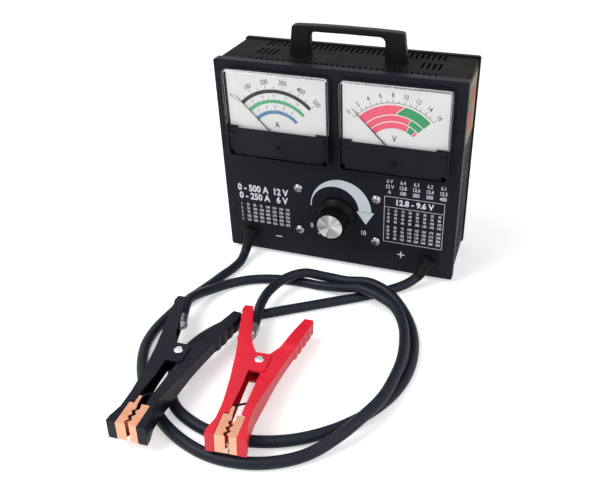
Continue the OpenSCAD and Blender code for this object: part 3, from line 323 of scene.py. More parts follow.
def make_grain():
    """Group for a finish that is never quite even: a broad noise moves colour and roughness up
    and down, and a fine noise gives the height of the surface's grain."""
    group, given, out = socket_group(
        "grain",
        {"Color": ("NodeSocketColor", (0.5, 0.5, 0.5, 1)),
         "Mottle": ("NodeSocketFloat", 0.1),
         "Roughness": ("NodeSocketFloat", 0.5),
         "Roughness Spread": ("NodeSocketFloat", 0.1),
         "Patch Scale": ("NodeSocketFloat", 60.0),
         "Grain Scale": ("NodeSocketFloat", 1500.0)},
        {"Color": "NodeSocketColor", "Roughness": "NodeSocketFloat", "Height": "NodeSocketFloat"})
    broad = noise_of(group, given["Patch Scale"])
    fine = noise_of(group, given["Grain Scale"], 2.0)
    lift = math_node(group, "SUBTRACT", broad, 0.5)
    both = math_node(group, "ADD", lift, math_node(group, "MULTIPLY", 0.5, math_node(
        group, "SUBTRACT", fine, 0.5)))
    bright = math_node(group, "ADD", 1, math_node(group, "MULTIPLY", both,
                                                  math_node(group, "MULTIPLY", given["Mottle"], 4)))
    grey = group.nodes.new("ShaderNodeCombineColor")
    for k in range(3):
        feed(group, grey.inputs[k], bright)
    feed(group, out["Color"], mix_colour(group, 1.0, given["Color"], grey.outputs[0], "MULTIPLY"))
    rough = math_node(group, "ADD", given["Roughness"], math_node(
        group, "MULTIPLY", both, math_node(group, "MULTIPLY", given["Roughness Spread"], 2)))
    feed(group, out["Roughness"], rough)
    feed(group, out["Height"], fine)
    return group


GRAIN = make_grain()


def placed_group(tree, group, **sockets):
    """Node that stands for a group in a material, with the group's inputs set."""
    node = tree.nodes.new("ShaderNodeGroup")
    node.node_tree = group
    return wired(tree, node, **sockets)


def relief(tree, height, strength, depth, shader):
    """Bump from a height that is depth millimetres at most, into a shader's normal."""
    bump = tree.nodes.new("ShaderNodeBump")
    wired(tree, bump, Strength=strength, Distance=depth * MM, Height=height)
    wired(tree, shader, Normal=bump.outputs["Normal"])


def finish_of(name, colour, roughness, metallic=0.0, mottle=0.1, spread=0.1, patch=60.0,
              grain=1500.0, depth=0.02, bump=0.3, **sockets):
    """Principled material whose colour, roughness and bump go through the grain group. Depth is
    the grain's height in millimetres; sockets sets more of the shader's own values."""
    made, tree, shader = new_material(name, Metallic=metallic, **sockets)
    node = placed_group(tree, GRAIN, Color=colour, Mottle=mottle, Roughness=roughness,
                        Roughness_Spread=spread, Patch_Scale=patch, Grain_Scale=grain)
    wired(tree, shader, Base_Color=node.outputs["Color"], Roughness=node.outputs["Roughness"])
    relief(tree, node.outputs["Height"], bump, depth, shader)
    return made


def piece(name, mesh, material, body):
    """Object of a finished mesh with its material, which rides on a body when one is given."""
    made = placed(name, mesh)
    if not mesh.materials:
        mesh.materials.append(material)
    if body:
        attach(made, body)
    return made


def dress(material, *names):
    """Gives CAD nodes, which keep their shape, a finish."""
    for name in names:
        mesh = nodes[name].data
        if mesh.materials:
            for k in range(len(mesh.materials)):
                mesh.materials[k] = material
        else:
            mesh.materials.append(material)


JACKET = finish_of("rubber_jacket", display(26, 30, 42), 0.42, mottle=0.12, spread=0.1,
                   patch=45.0, grain=900.0, depth=0.05, bump=0.25, Specular_IOR_Level=0.17)


def lead(name, route):
    """A round jacket along the route's smooth line, which never sinks into the table, in place
    of the lead's CAD node."""
    line = smooth_line(route, 4)
    line[:, 2] = np.maximum(line[:, 2], CORD_D / 2 * MM)
    made = piece(name, skin(name, rings_along(line, CORD_D / 2 * MM, 28)), JACKET, "tester")
    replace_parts(made, name.replace("jacket", "lead"))


lead("negative_jacket", NEGATIVE_ROUTE)
lead("positive_jacket", POSITIVE_ROUTE)


# ---------------------------------------------------------------- case
# Folded sheet steel: a front tray, a wrapped cover, a rear tray and a floor, all powder
# coated in satin black. Folds and cut edges are slightly rounded by the coat.
def soften(name, width, segments=2, angle=40):
    """Rounded edges on a CAD node: its loose triangles are welded, and edges sharper than the
    angle get a bevel of that width in millimetres."""
    node = nodes[name]
    weld = node.modifiers.new("weld", "WELD")
    weld.merge_threshold = 0.002 * MM
    bevel = node.modifiers.new("round_edges", "BEVEL")
    bevel.width = width * MM
    bevel.segments = segments
    bevel.limit_method = "ANGLE"
    bevel.angle_limit = math.radians(angle)
    bevel.harden_normals = True


def powder(name, colour, roughness, mottle, gloss):
    """Powder coat with the pebbled grain that it sets with."""
    return finish_of(name, colour, roughness, mottle=mottle, spread=0.12, patch=35.0,
                     grain=1600.0, depth=0.06, bump=0.35, Specular_IOR_Level=gloss)


POWDER = powder("powder_coat", display(22, 24, 32), 0.5, 0.1, 0.12)
# Darker, duller copy of the same powder coat for the cover's top and sides: painted shade that
# keeps them darker than the front panel.
SHADED_COVER_POWDER = powder("cover_powder_coat", display(18, 18, 17), 0.55, 0.12, 0.04)
FLOOR_STEEL = finish_of("zinc_plate", display(150, 152, 156), 0.38, metallic=1.0, mottle=0.15,
                        spread=0.2, patch=120.0, grain=900.0, depth=0.02)
RUBBER = finish_of("foot_rubber", display(26, 26, 28), 0.8, mottle=0.15, depth=0.1)
SCREW_BLACK = finish_of("black_oxide", display(34, 34, 38), 0.35, metallic=0.9, mottle=0.2,
                        depth=0.01)
dress(POWDER, "front_panel", "rear_panel")
dress(SHADED_COVER_POWDER, "wrap_cover")
dress(FLOOR_STEEL, "base_plate")
dress(RUBBER, "feet")
dress(SCREW_BLACK, "case_screws")
for name, width in (("front_panel", 0.6), ("wrap_cover", 0.4), ("rear_panel", 0.6)):
    soften(name, width)


# ---------------------------------------------------------------- carrying handle
# One moulding in black plastic: two feet that lean in to a slim bar, with a round-cornered
# opening for the fingers. Two screws hold it from inside the cover.
def box_mm(node):
    """Lowest and highest corner of a CAD node, in millimetres."""
    low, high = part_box(node)
    return np.array(low) / MM, np.array(high) / MM


def rounded_loop(across, deep, radius, per_corner=6):
    """Points round a rectangle with round corners, as two arrays: four quarter circles, each
    about a corner's own centre."""
    turn = np.linspace(0, math.pi / 2, per_corner)
    angle = np.concatenate([turn + k * math.pi / 2 for k in range(4)])
    corner = np.repeat(np.arange(4), per_corner)
    sign_u = np.where((corner == 0) | (corner == 3), 1, -1)
    sign_v = np.where(corner < 2, 1, -1)
    u = sign_u * (across / 2 - radius) + radius * np.cos(angle)
    v = sign_v * (deep / 2 - radius) + radius * np.sin(angle)
    return u, v


def handle():
    """Rings between an inner and an outer line in the plane of the handle: each ring is a
    rounded rectangle as wide as the two lines are apart, and as deep as the handle. The key
    gives the outer line's x and z at shares of the inner line's length from foot to middle."""
    low, high = box_mm("handle")
    half = high[0]
    rise = high[2] - low[2]
    depth = high[1] - low[1]
    grip, corner, bar_t, edge_r = 41.0, 6.5, 7.0, 2.4
    top = rise - bar_t
    arc = np.radians(np.linspace(0, 90, 9))
    inner = np.concatenate([
        np.array([(grip, z) for z in np.linspace(0, top - corner, 7)])[:-1],
        np.stack([grip - corner + corner * np.cos(arc), top - corner + corner * np.sin(arc)], 1),
        np.array([(x, top) for x in np.linspace(grip - corner, 0, 9)])[1:],
    ])
    key = np.array([(0, half, 0), (0.1, half - 0.3, 6), (0.22, half - 1.9, 16),
                    (0.32, half - 3.1, top), (0.38, half - 3.6, rise - 3.4),
                    (0.42, half - 4.8, rise - 1.8), (0.48, half - 7.5, rise - 1.2),
                    (0.62, half - 16, rise - 0.9), (0.85, half / 2.2, rise - 0.3), (1, 0, rise)])
    walked = walked_along(inner)
    share = walked / walked[-1]
    outer = np.stack([np.interp(share, key[:, 0], key[:, k]) for k in (1, 2)], 1)
    outer[0] = half, 0
    both = [np.concatenate([line * (1, 1), line[-2::-1] * (-1, 1)]) for line in (inner, outer)]
    middle = (both[0] + both[1]) / 2
    across = both[1] - both[0]
    width = np.linalg.norm(across, axis=1)
    rings = []
    for k in range(len(width)):
        u, v = rounded_loop(width[k], depth, edge_r)
        flat = middle[k] + np.outer(u / width[k], across[k])
        rings.append(np.stack([flat[:, 0], v + (low[1] + high[1]) / 2, flat[:, 1] + low[2]], 1))
    return skin("carry_handle", np.array(rings) * MM)


HANDLE_PLASTIC = finish_of("handle_plastic", display(19, 19, 20), 0.42, mottle=0.1, spread=0.12,
                           patch=70.0, grain=2200.0, depth=0.04, Specular_IOR_Level=0.1)
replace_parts(piece("carry_handle", handle(), HANDLE_PLASTIC, "tester"), "handle")
dress(FLOOR_STEEL, "handle_screws")


# ---------------------------------------------------------------- print on the front panel
# Marks screened in pale ink on the coat: the arrow that shows which way the load rises, a
# minus and a plus over the leads, and plain numbers. The numbers are filler and state no
# limits for a test. Each mark is a film of ink.
INK_T = 0.05
WELD_REACH = 0.0002


def band(x, z, radius_in, radius_out, start, stop, steps=64):
    """Grid of a band round (x, z), from one radius to another and from one angle to another.
    Angles are in degrees; each may be one number or one for each radius."""
    share = np.linspace(0, 1, steps)
    angle = np.radians(np.stack([a + (b - a) * share for a, b in zip(
        np.broadcast_to(start, 2), np.broadcast_to(stop, 2))]))
    radius = np.stack([np.broadcast_to(radius_in, steps), np.broadcast_to(radius_out, steps)])
    return np.stack([x + radius * np.cos(angle), z + radius * np.sin(angle)], -1)


def bar(x0, z0, x1, z1, width):
    """Grid of a straight bar from one point to another."""
    a, b = np.array([x0, z0]), np.array([x1, z1])
    side = (b - a)[::-1] * (-1, 1) / np.linalg.norm(b - a) * width / 2
    return np.array([[a - side, b - side], [a + side, b + side]])


def film(grid, y):
    """Points and outward faces of a film of ink: the grid at its front, the same grid behind
    it, and a wall round the edge."""
    rows, cols, _ = grid.shape
    count = rows * cols
    flat = grid.reshape(-1, 2)
    points = np.concatenate([np.stack([flat[:, 0], np.full(count, d), flat[:, 1]], 1)
                             for d in (y - INK_T, y)])
    index = np.arange(count).reshape(rows, cols)
    front = np.stack([index[:-1, :-1], index[:-1, 1:], index[1:, 1:], index[1:, :-1]], -1)
    front = front.reshape(-1, 4)
    rim = np.concatenate([index[0], index[1:, -1], index[-1, -2::-1], index[-2:0:-1, 0]])
    after = np.roll(rim, -1)
    walls = np.stack([rim, rim + count, after + count, after], 1)
    faces = np.concatenate([front, front[:, ::-1] + count, walls])
    a, b, c = (flat[front[0, k]] for k in range(3))
    turned = (b[0] - a[0]) * (c[1] - a[1]) - (b[1] - a[1]) * (c[0] - a[0]) < 0
    return points, (faces[:, ::-1] if turned else faces).tolist()


def figures(text, x, z, size, y, turn=0.0, narrow=0.8, stout=0.018):
    """Points and faces of plain numbers, centred on (x, z), made narrower and stouter by shares
    of their size, and turned by an angle in degrees."""
    curve = bpy.data.curves.new("figures", "FONT")
    curve.body = text
    curve.size = size
    curve.offset = stout * size
    curve.align_x, curve.align_y = "CENTER", "CENTER"
    curve.extrude = INK_T / 2
    curve.resolution_u = 3
    holder = bpy.data.objects.new("figures", curve)
    mesh = bpy.data.meshes.new_from_object(holder)
    flat = np.empty(len(mesh.vertices) * 3)
    mesh.vertices.foreach_get("co", flat)
    flat = flat.reshape(-1, 3) * (narrow, 1, 1)
    cos, sin = math.cos(math.radians(turn)), math.sin(math.radians(turn))
    points = np.stack([x + flat[:, 0] * cos - flat[:, 1] * sin, y - INK_T / 2 - flat[:, 2],
                       z + flat[:, 0] * sin + flat[:, 1] * cos], 1)
    faces = [tuple(face.vertices) for face in mesh.polygons]
    bpy.data.objects.remove(holder)
    bpy.data.curves.remove(curve)
    bpy.data.meshes.remove(mesh)
    return points, faces


def weld_mesh(mesh):
    """Merges the points of a mesh that lie in the same place."""
    work = bmesh.new()
    work.from_mesh(mesh)
    bmesh.ops.remove_doubles(work, verts=work.verts, dist=WELD_REACH * MM)
    work.to_mesh(mesh)
    work.free()


def printed(name, marks, inks):
    """One mesh of many marks. Each mark is (points, faces, number of its ink)."""
    mesh = bpy.data.meshes.new(name)
    starts = np.cumsum([0] + [len(points) for points, _, _ in marks])
    every = np.concatenate([points for points, _, _ in marks]) * MM
    faces = [tuple(int(k) + int(start) for k in face)
             for start, (_, some, _) in zip(starts, marks) for face in some]
    mesh.from_pydata(every.tolist(), [], faces)
    for coat in inks:
        mesh.materials.append(coat)
    used = np.concatenate([np.full(len(some), number) for _, some, number in marks])
    mesh.polygons.foreach_set("material_index", used.astype(np.int32))
    weld_mesh(mesh)
    return mesh


def ink(name, colour, gloss=0.5):
    """Opaque screen ink with a faintly uneven coat."""
    return finish_of(name, colour, 0.5, mottle=0.06, spread=0.05, patch=400.0, grain=3000.0,
                     depth=0.004, Specular_IOR_Level=gloss)


PANEL_Y = box_mm("front_panel")[0][1]
WHITE_INK = ink("white_ink", display(214, 218, 226))
PALE_INK = ink("pale_blue_ink", display(196, 208, 218))


def arrow_marks():
    """Crescent between two arcs that meet at its tail, and a three-cornered head. The outer arc
    is an ellipse's and the inner one a circle's, and both start at the same height. The
    outline is whiter than the middle."""
    foot_z, outline = 75.5, 0.6
    share = np.linspace(0, 1, 72)
    outer_angle = np.radians(180 - 179 * share)
    inner_angle = np.radians(178 - 177 * share)
    outer = np.stack([4.4 + 35.6 * np.cos(outer_angle), foot_z + 37 * np.sin(outer_angle)], 1)
    inner = np.stack([-2.4 + 28 * np.cos(inner_angle), foot_z + 28 * np.sin(inner_angle)], 1)
    grown = np.clip(share / 0.12, 0, 1)[:, None]
    inner = outer * (1 - grown) + inner * grown + (1 - grown) * (1.2, 0)
    across = (outer - inner) / np.linalg.norm(outer - inner, axis=1)[:, None]
    lines = [inner, inner + outline * across, outer - outline * across, outer]
    marks = [(*film(np.stack(pair), PANEL_Y), coat)
             for pair, coat in zip(zip(lines, lines[1:]), (0, 1, 0))]
    left, right, tip = (23.2, 76.2), (43.0, 76.8), (33.8, 61.2)
    marks.append((*film(np.array([[left, tip], [right, tip + np.array([0.1, 0])]]), PANEL_Y), 1))
    marks += [(*film(bar(*corner, *tip, outline), PANEL_Y - INK_T), 0) for corner in (left, right)]
    return marks


def stroke(x0, z0, x1, z1, width):
    """Straight white mark on the panel."""
    return (*film(bar(x0, z0, x1, z1, width), PANEL_Y), 0)


def panel_text(text, x, z, size, **look):
    """White figures on the panel."""
    return (*figures(text, x, z, size, PANEL_Y, **look), 0)


def number_rows(rows, left, top, size, pitch, column):
    """Rows of plain numbers, one below the other, each number in its own column."""
    return [panel_text(text, left + column * k, top - pitch * r, size)
            for r, row in enumerate(rows) for k, text in enumerate(row)]


def panel_marks():
    """All the marks of the front panel."""
    marks = arrow_marks()
    marks += [panel_text("0", -30.6, 48.5, 8.5), panel_text("10", 31, 49, 8.5)]
    marks += [stroke(*ends, width=1.3) for ends in (
        (-76.4, 26, -68.8, 26), (71.2, 27.9, 79.6, 27.9),
        (75.4, 23.7, 75.4, 27.25), (75.4, 28.55, 75.4, 32.1))]
    marks += [panel_text("0 - 500 A  12 V", -89.5, 85.5, 11.5, narrow=0.86, stout=0.035),
              panel_text("0 - 250 A   6 V", -89.2, 75, 11.5, narrow=0.86, stout=0.035)]
    steps = [[str(row)] + [str(row * 25 * k) for k in range(1, 8)] for row in range(1, 6)]
    marks += number_rows(steps, left=-117.5, top=63.5, size=4.4, pitch=5.2, column=8.2)
    (left, low), (right, high) = (54.7, 43), (120.7, 101)
    divide, line_w, gap = 88, 0.45, 0.3
    marks += [stroke(left, z, right, z, line_w) for z in (low, high, divide)]
    for x in (left, right):
        marks.append(stroke(x, low + gap, x, divide - gap, line_w))
        marks.append(stroke(x, divide + gap, x, high - gap, line_w))
    ranges = [["6 V", "6.4", "6.3", "6.2", "6.1"], ["12 V", "12.8", "12.6", "12.4", "12.2"],
              ["A", "100", "200", "300", "400"]]
    marks += number_rows(ranges, left=60, top=119.5, size=6.2, pitch=6.5, column=14.6)
    marks.append(panel_text("12.8 - 9.6 V", 87.7, 94.5, 9.5, narrow=0.95, stout=0.035))
    chart = [[str(5 * row * k) for k in range(1, 9)] for row in range(1, 9)]
    for rows, top in ((chart[:4], 84), (chart[4:], 62.4)):
        marks += number_rows(rows, left=59.5, top=top, size=4.2, pitch=4.8, column=8.1)
    return marks


piece("panel_print", printed("panel_print", panel_marks(), [WHITE_INK, PALE_INK]), WHITE_INK,
      "tester")


# ---------------------------------------------------------------- panel meters
# Two moving-coil meters, each a black moulded base with a printed dial, a black mask over the
# movement and a clear acrylic cover, whose front edge is polished round and whose sides are
# painted black below the mask's top.
LAMP_LIGHT_THROUGH = 0.66


def meter_cover(name, node):
    """Clear shell: rows of rounded rectangles run from the outer face over the rounded edge,
    back along the outer wall, in across the rim, and forward along the inner wall. Each row
    has one more point on its left and right side, where the paint below ends."""
    low, high = box_mm(node)
    middle, wide, tall = (low + high) / 2, high[0] - low[0], high[2] - low[2]
    edge, wall, corner, per_corner = 2.6, 2.0, 5.0, 8
    turn = np.linspace(0, math.pi / 2, 7)
    inset = np.concatenate([edge * (1 - np.sin(turn)), [0.0], [wall, wall, wall + 0.5]])
    y = np.concatenate([low[1] + edge * (1 - np.cos(turn)), [high[1]],
                        [high[1], low[1] + wall + 0.5, low[1] + wall]])
    paint_top = box_mm(node.replace("cover", "mask"))[1][2] - middle[2]
    left_wall, right_wall = 2 * per_corner, 4 * per_corner
    rings = []
    for cut, at in zip(inset, y):
        u, v = rounded_loop(wide - 2 * cut, tall - 2 * cut, max(corner - cut, 1.2), per_corner)
        u = np.insert(u, [left_wall, right_wall], u[[left_wall - 1, right_wall - 1]])
        v = np.insert(v, [left_wall, right_wall], [paint_top] * 2)
        rings.append(np.stack([middle[0] + u, np.full(len(u), at), middle[2] + v], 1))
    mesh = skin(name, np.array(rings) * MM, sharp=50)
    for made in (ACRYLIC, MASK_PLASTIC, PANE):
        mesh.materials.append(made)
    below = (middle[2] + paint_top) * MM
    used = [2 if abs(face.normal.y) > 0.99 else int(face.center.z < below)
            for face in mesh.polygons]
    mesh.polygons.foreach_set("material_index", used)
    return mesh


def clear_plastic(name, bending):
    """Clear plastic that bends light as given, and lets most of the lamps' own rays through, so
    that the dial behind it is lit."""
    made, tree, shader = new_material(name, Base_Color=(1, 1, 1), Transmission_Weight=1,
                                      IOR=bending, Specular_IOR_Level=0.05)
    wired(tree, shader, Roughness=math_node(tree, "MULTIPLY", noise_of(tree, 90.0, 4.0), 0.05))
    clear = tree.nodes.new("ShaderNodeBsdfTransparent")
    wired(tree, clear, Color=(LAMP_LIGHT_THROUGH,) * 3)
    mix_shaders(tree, path_share(tree, "Is Shadow Ray"), shader.outputs[0], clear.outputs[0],
                "Material Output")
    return made


ACRYLIC = clear_plastic("clear_acrylic", 1.49)
PANE = clear_plastic("coated_pane", 1.06)
MASK_PLASTIC = finish_of("mask_plastic", display(19, 20, 27), 0.45, mottle=0.06, spread=0.08,
                         depth=0.01, Specular_IOR_Level=0.1)
DIAL_WHITE = finish_of("dial_paint", display(191, 191, 190), 0.5, mottle=0.03, spread=0.05,
                       patch=50.0, grain=2500.0, depth=0.003)
NEEDLE_PAINT = finish_of("needle_paint", display(30, 30, 32), 0.5, mottle=0.05, depth=0.002)
for meter in ("amps", "volts"):
    shell = piece(f"{meter}_clear_cover", meter_cover(f"{meter}_clear_cover", f"{meter}_cover"),
                  ACRYLIC, "tester")
    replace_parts(shell, f"{meter}_cover")
    dress(MASK_PLASTIC, f"{meter}_base", f"{meter}_mask")
    dress(DIAL_WHITE, f"{meter}_dial")
    dress(NEEDLE_PAINT, f"{meter}_pointer")
    dress(SCREW_BLACK, f"{meter}_zero_screw")
dress(SCREW_BLACK, "meter_screws")


# ---------------------------------------------------------------- dial scales
# Scales screened on the dials in black, grey and four colours, round the needle's pivot. The
# left dial reads amps on three ranges, and the right one volts over bands of red and green.
DIAL_Y = box_mm("amps_dial")[0][1]
PIVOT_Z = 155.8
BLACK_INK = ink("black_ink", display(34, 34, 36))
GREEN_INK = ink("green_ink", display(70, 145, 106))
BLUE_INK = ink("blue_ink", display(66, 110, 144))
RED_INK = ink("red_ink", display(200, 76, 98))
LEAF_INK = ink("leaf_ink", display(44, 128, 79))
GREY_INK = ink("grey_ink", display(30, 31, 34))
DIAL_INKS = [BLACK_INK, GREEN_INK, BLUE_INK, RED_INK, LEAF_INK, GREY_INK]
BLACK, GREEN, BLUE, RED, LEAF, GREY = range(6)


def dial_band(x, radius_in, radius_out, start, stop, colour):
    """Band of a dial between two radii and two angles."""
    return (*film(band(x, PIVOT_Z, radius_in, radius_out, start, stop), DIAL_Y), colour)


def dial_tick(x, angle, radius_in, radius_out, width, colour):
    """Straight tick on a dial, from one radius to another at an angle."""
    way = np.array([math.cos(math.radians(angle)), math.sin(math.radians(angle))])
    a, b = way * radius_in, way * radius_out
    return (*film(bar(x + a[0], PIVOT_Z + a[1], x + b[0], PIVOT_Z + b[1], width), DIAL_Y), colour)


def dial_number(x, text, angle, radius, size, colour):
    """Number that stands on an arc of the dial."""
    way = math.radians(angle)
    return (*figures(text, x + radius * math.cos(way), PIVOT_Z + radius * math.sin(way), size,
                     DIAL_Y, angle - 90, stout=0.009), colour)


def amps_marks(x):
    """Three arcs with ticks and numbers; zero is at 139 degrees and full scale at 44.5."""
    first, last = 139.0, 44.5
    marks = [dial_band(x, 51.3, 55.4, first - 2, last, BLACK),
             dial_band(x, 40.3, 44.2, first - 1.8, last - 1, GREEN),
             dial_band(x, 28.3, 32.2, first - 1.6, last - 2.5, BLUE),
             dial_tick(x, first, 56.0, 63.5, 0.5, BLACK)]
    for step in range(1, 11):
        angle = first + (last - first) * step / 10
        long = step % 2 == 0
        marks.append(dial_tick(x, angle, 56.3, 59.6 if long else 58.6, 0.6, GREY))
        if long:
            marks.append(dial_number(x, str(step * 50), angle, 63.4, 7.6, GREY))
    marks.append(dial_number(x, "0", first, 66.8, 6.4, GREY))
    steps = 12
    for inner, colour, top in ((44.6, GREEN, 120), (32.6, BLUE, 60)):
        for step in range(1, steps):
            angle = first + 1 + (last - first - 1) * step / steps
            marks.append(dial_tick(x, angle, inner, inner + 1.6, 0.45, GREY))
            if step % 2 == 0:
                value = str(top * step // steps)
                marks.append(dial_number(x, value, angle, inner + 3.7, 3.9, colour))
    marks.append((*figures("A", x, PIVOT_Z + 15.6, 9.5, DIAL_Y), BLACK))
    return marks


def volts_marks(x):
    """Fine scale from 0 to 16 over three bands of red and green. In the outer band the two
    colours meet along a stepped line, with a gap of bare dial between them."""
    first, last = 140.6, 44.3
    volt = (last - first) / 16
    marks = [dial_band(x, 54.5, 55.1, first, last, GREY)]
    for step in range(17):
        angle = first + volt * step
        marks.append(dial_tick(x, angle, 55.3, 58.8 if step % 2 == 0 else 57.6, 0.6, GREY))
        if step % 2 == 0:
            marks.append(dial_number(x, str(step), angle, 62.8, 7.2, GREY))
    start, end, gap = 137, 45.5, 1.6
    saw = [(42.5, 89.6), (44.6, 87.2), (44.9, 88.2), (47.2, 84.4), (47.5, 85.6), (49.9, 81.4),
           (50.2, 82.6), (52.3, 79.4)]
    for (r0, a0), (r1, a1) in zip(saw, saw[1:]):
        marks.append(dial_band(x, r0, r1, start, (a0, a1), RED))
        marks.append(dial_band(x, r0, r1, (a0 - gap, a1 - gap), end, LEAF))
    for r0, r1, a0, a1, colour in (
            (35.2, 41.4, start, 67.6, RED), (35.2, 41.4, 66.6, 46.0, LEAF),
            (27.6, 34.1, start, 65.2, RED), (27.6, 34.1, 64.0, 51.6, LEAF),
            (27.6, 34.1, 50.4, 46.5, RED)):
        marks.append(dial_band(x, r0, r1, a0, a1, colour))
    marks.append((*figures("V", x, PIVOT_Z + 15.6, 9.5, DIAL_Y), BLACK))
    return marks


for meter, marks_of in (("amps", amps_marks), ("volts", volts_marks)):
    low, high = box_mm(f"{meter}_dial")
    marks = marks_of((low[0] + high[0]) / 2)
    piece(f"{meter}_scale", printed(f"{meter}_scale", marks, DIAL_INKS), BLACK_INK, "tester")


# ---------------------------------------------------------------- fields of colour on the right side
# Plain fields of colour on cream, laid on the cover above the side slots.
CREAM_FIELD = ink("cream_field", display(140, 124, 98), 0.08)
LEAF_FIELD = ink("leaf_field", display(88, 116, 54), 0.08)
CORAL_FIELD = ink("coral_field", display(182, 66, 44), 0.08)
BROWN_FIELD = ink("brown_field", display(78, 56, 40), 0.08)


def side_label():
    """Fields of colour on cream, laid out as if on the front and then turned to face right.
    Each field lies one thickness of ink above the field before it."""
    side = box_mm("wrap_cover")[1][0]
    low, high, bottom, top = -22.0, 48.0, 158.0, 229.0
    cream, leaf, coral, brown = range(4)
    fields = [(low, bottom, high, top, brown),
              (low + 3, bottom + 3, high - 3, top - 3, cream),
              (low + 8, bottom + 36, low + 30, top - 8, leaf),
              (low + 20, bottom + 12, low + 46, bottom + 34, coral),
              (low + 36, bottom + 38, high - 8, top - 14, coral)]
    marks = []
    for level, (u0, w0, u1, w1, colour) in enumerate(fields):
        y = -side - INK_T * (1 + level)
        points, faces = film(bar(u0, (w0 + w1) / 2, u1, (w0 + w1) / 2, w1 - w0), y + INK_T)
        marks.append((np.stack([-points[:, 1], points[:, 0], points[:, 2]], 1), faces, colour))
    return marks


piece("side_label", printed("side_label", side_label(),
                            [CREAM_FIELD, LEAF_FIELD, CORAL_FIELD, BROWN_FIELD]), CREAM_FIELD,
      "tester")


# ---------------------------------------------------------------- load knob
# Moulded black knob with a skirt and a fluted grip, a white line on the grip, and a disc of
# spun aluminium pressed into its face. It turns the load screw.
(_, KNOB_FACE, KNOB_LOW), (_, KNOB_BACK, KNOB_HIGH) = box_mm("load_knob")
KNOB_Z = (KNOB_LOW + KNOB_HIGH) / 2
CAP_R = 14.5
GRIP_R = 17.0
FLUTES = 20
FLUTE_DEPTH = 0.95
POINTER_ANGLE = math.radians(219)


def turned(name, profile, sides, x, z, flute=0.0):
    """Revolve about the line through (x, z) that runs front to back. The profile's rows are
    (y, radius, share of a flute), and a flute takes its depth from the radius where the cosine
    of its angle is positive."""
    profile = np.array(profile, float)
    angle = np.linspace(0, 2 * math.pi, sides, endpoint=False)
    groove = flute * np.clip(np.cos(FLUTES * angle), 0, 1) ** 0.8
    radius = profile[:, 1, None] - profile[:, 2, None] * groove
    y = np.broadcast_to(profile[:, 0, None], radius.shape)
    rings = np.stack([x + radius * np.cos(angle), y, z + radius * np.sin(angle)], -1)
    return skin(name, rings * MM)


def knob_profile():
    """From the bore's end back out of the knob, over the skirt and cone, along the grip to the
    face, and into the seat of the cap."""
    back, face = KNOB_BACK, KNOB_FACE
    return [(face + 6, 0.3, 0), (face + 6, 6.1, 0), (back - 5, 6.1, 0), (back - 5, 12.7, 0),
            (back, 12.7, 0), (back, 22.1, 0), (back - 0.4, 22.5, 0), (back - 3.5, 22.5, 0),
            (back - 3.9, 22.3, 0), (back - 4.2, 22.0, 0), (back - 7.6, 18.2, 0),
            (back - 8.0, 17.5, 0), (back - 8.6, 17.05, 0.2), (back - 10, GRIP_R, 0.8),
            (back - 12, GRIP_R, 1), (face + 2.4, GRIP_R, 1), (face + 1.0, 16.95, 0.8),
            (face + 0.4, 16.8, 0.35), (face + 0.1, 16.5, 0.1), (face, 16.1, 0), (face, 14.9, 0),
            (face + 0.15, 14.65, 0), (face + 1.4, 14.6, 0), (face + 1.4, 0.3, 0)]


def cap_profile():
    """From the middle of the cap's back, round its rim and over the raised edge of its face."""
    face = KNOB_FACE
    return [(face + 1.35, 0.3, 0), (face + 1.35, CAP_R, 0), (face + 0.25, CAP_R, 0),
            (face - 0.05, 14.35, 0), (face - 0.15, 14.0, 0), (face - 0.05, 13.6, 0),
            (face + 0.15, 13.3, 0), (face + 0.2, 12.7, 0), (face + 0.2, 0.3, 0)]


def pointer_line():
    """White bar that runs out over the rim of the face and back along the grip: an oblong of
    four corners, sunk inward from each point of its path."""
    half_width = 0.75
    out = np.array([math.cos(POINTER_ANGLE), math.sin(POINTER_ANGLE)])
    across = np.array([-out[1], out[0]]) * half_width
    path = np.array([(14.9, KNOB_FACE - 0.06), (16.4, KNOB_FACE - 0.06),
                     (17.08, KNOB_FACE + 0.7), (17.08, KNOB_FACE + 7)])
    inward = np.array([(0.2, 0.6), (-0.3, 0.6), (-0.6, 0.2), (-0.6, 0.0)])
    rings = []
    for (r, y), (dr, dy) in zip(path, inward):
        ends = [(r, y, -1), (r, y, 1), (r + dr, y + dy, 1), (r + dr, y + dy, -1)]
        rings.append([(out[0] * a + across[0] * s, b, KNOB_Z + out[1] * a + across[1] * s)
                      for a, b, s in ends])
    return skin("pointer_line", np.array(rings) * MM, sharp=20)


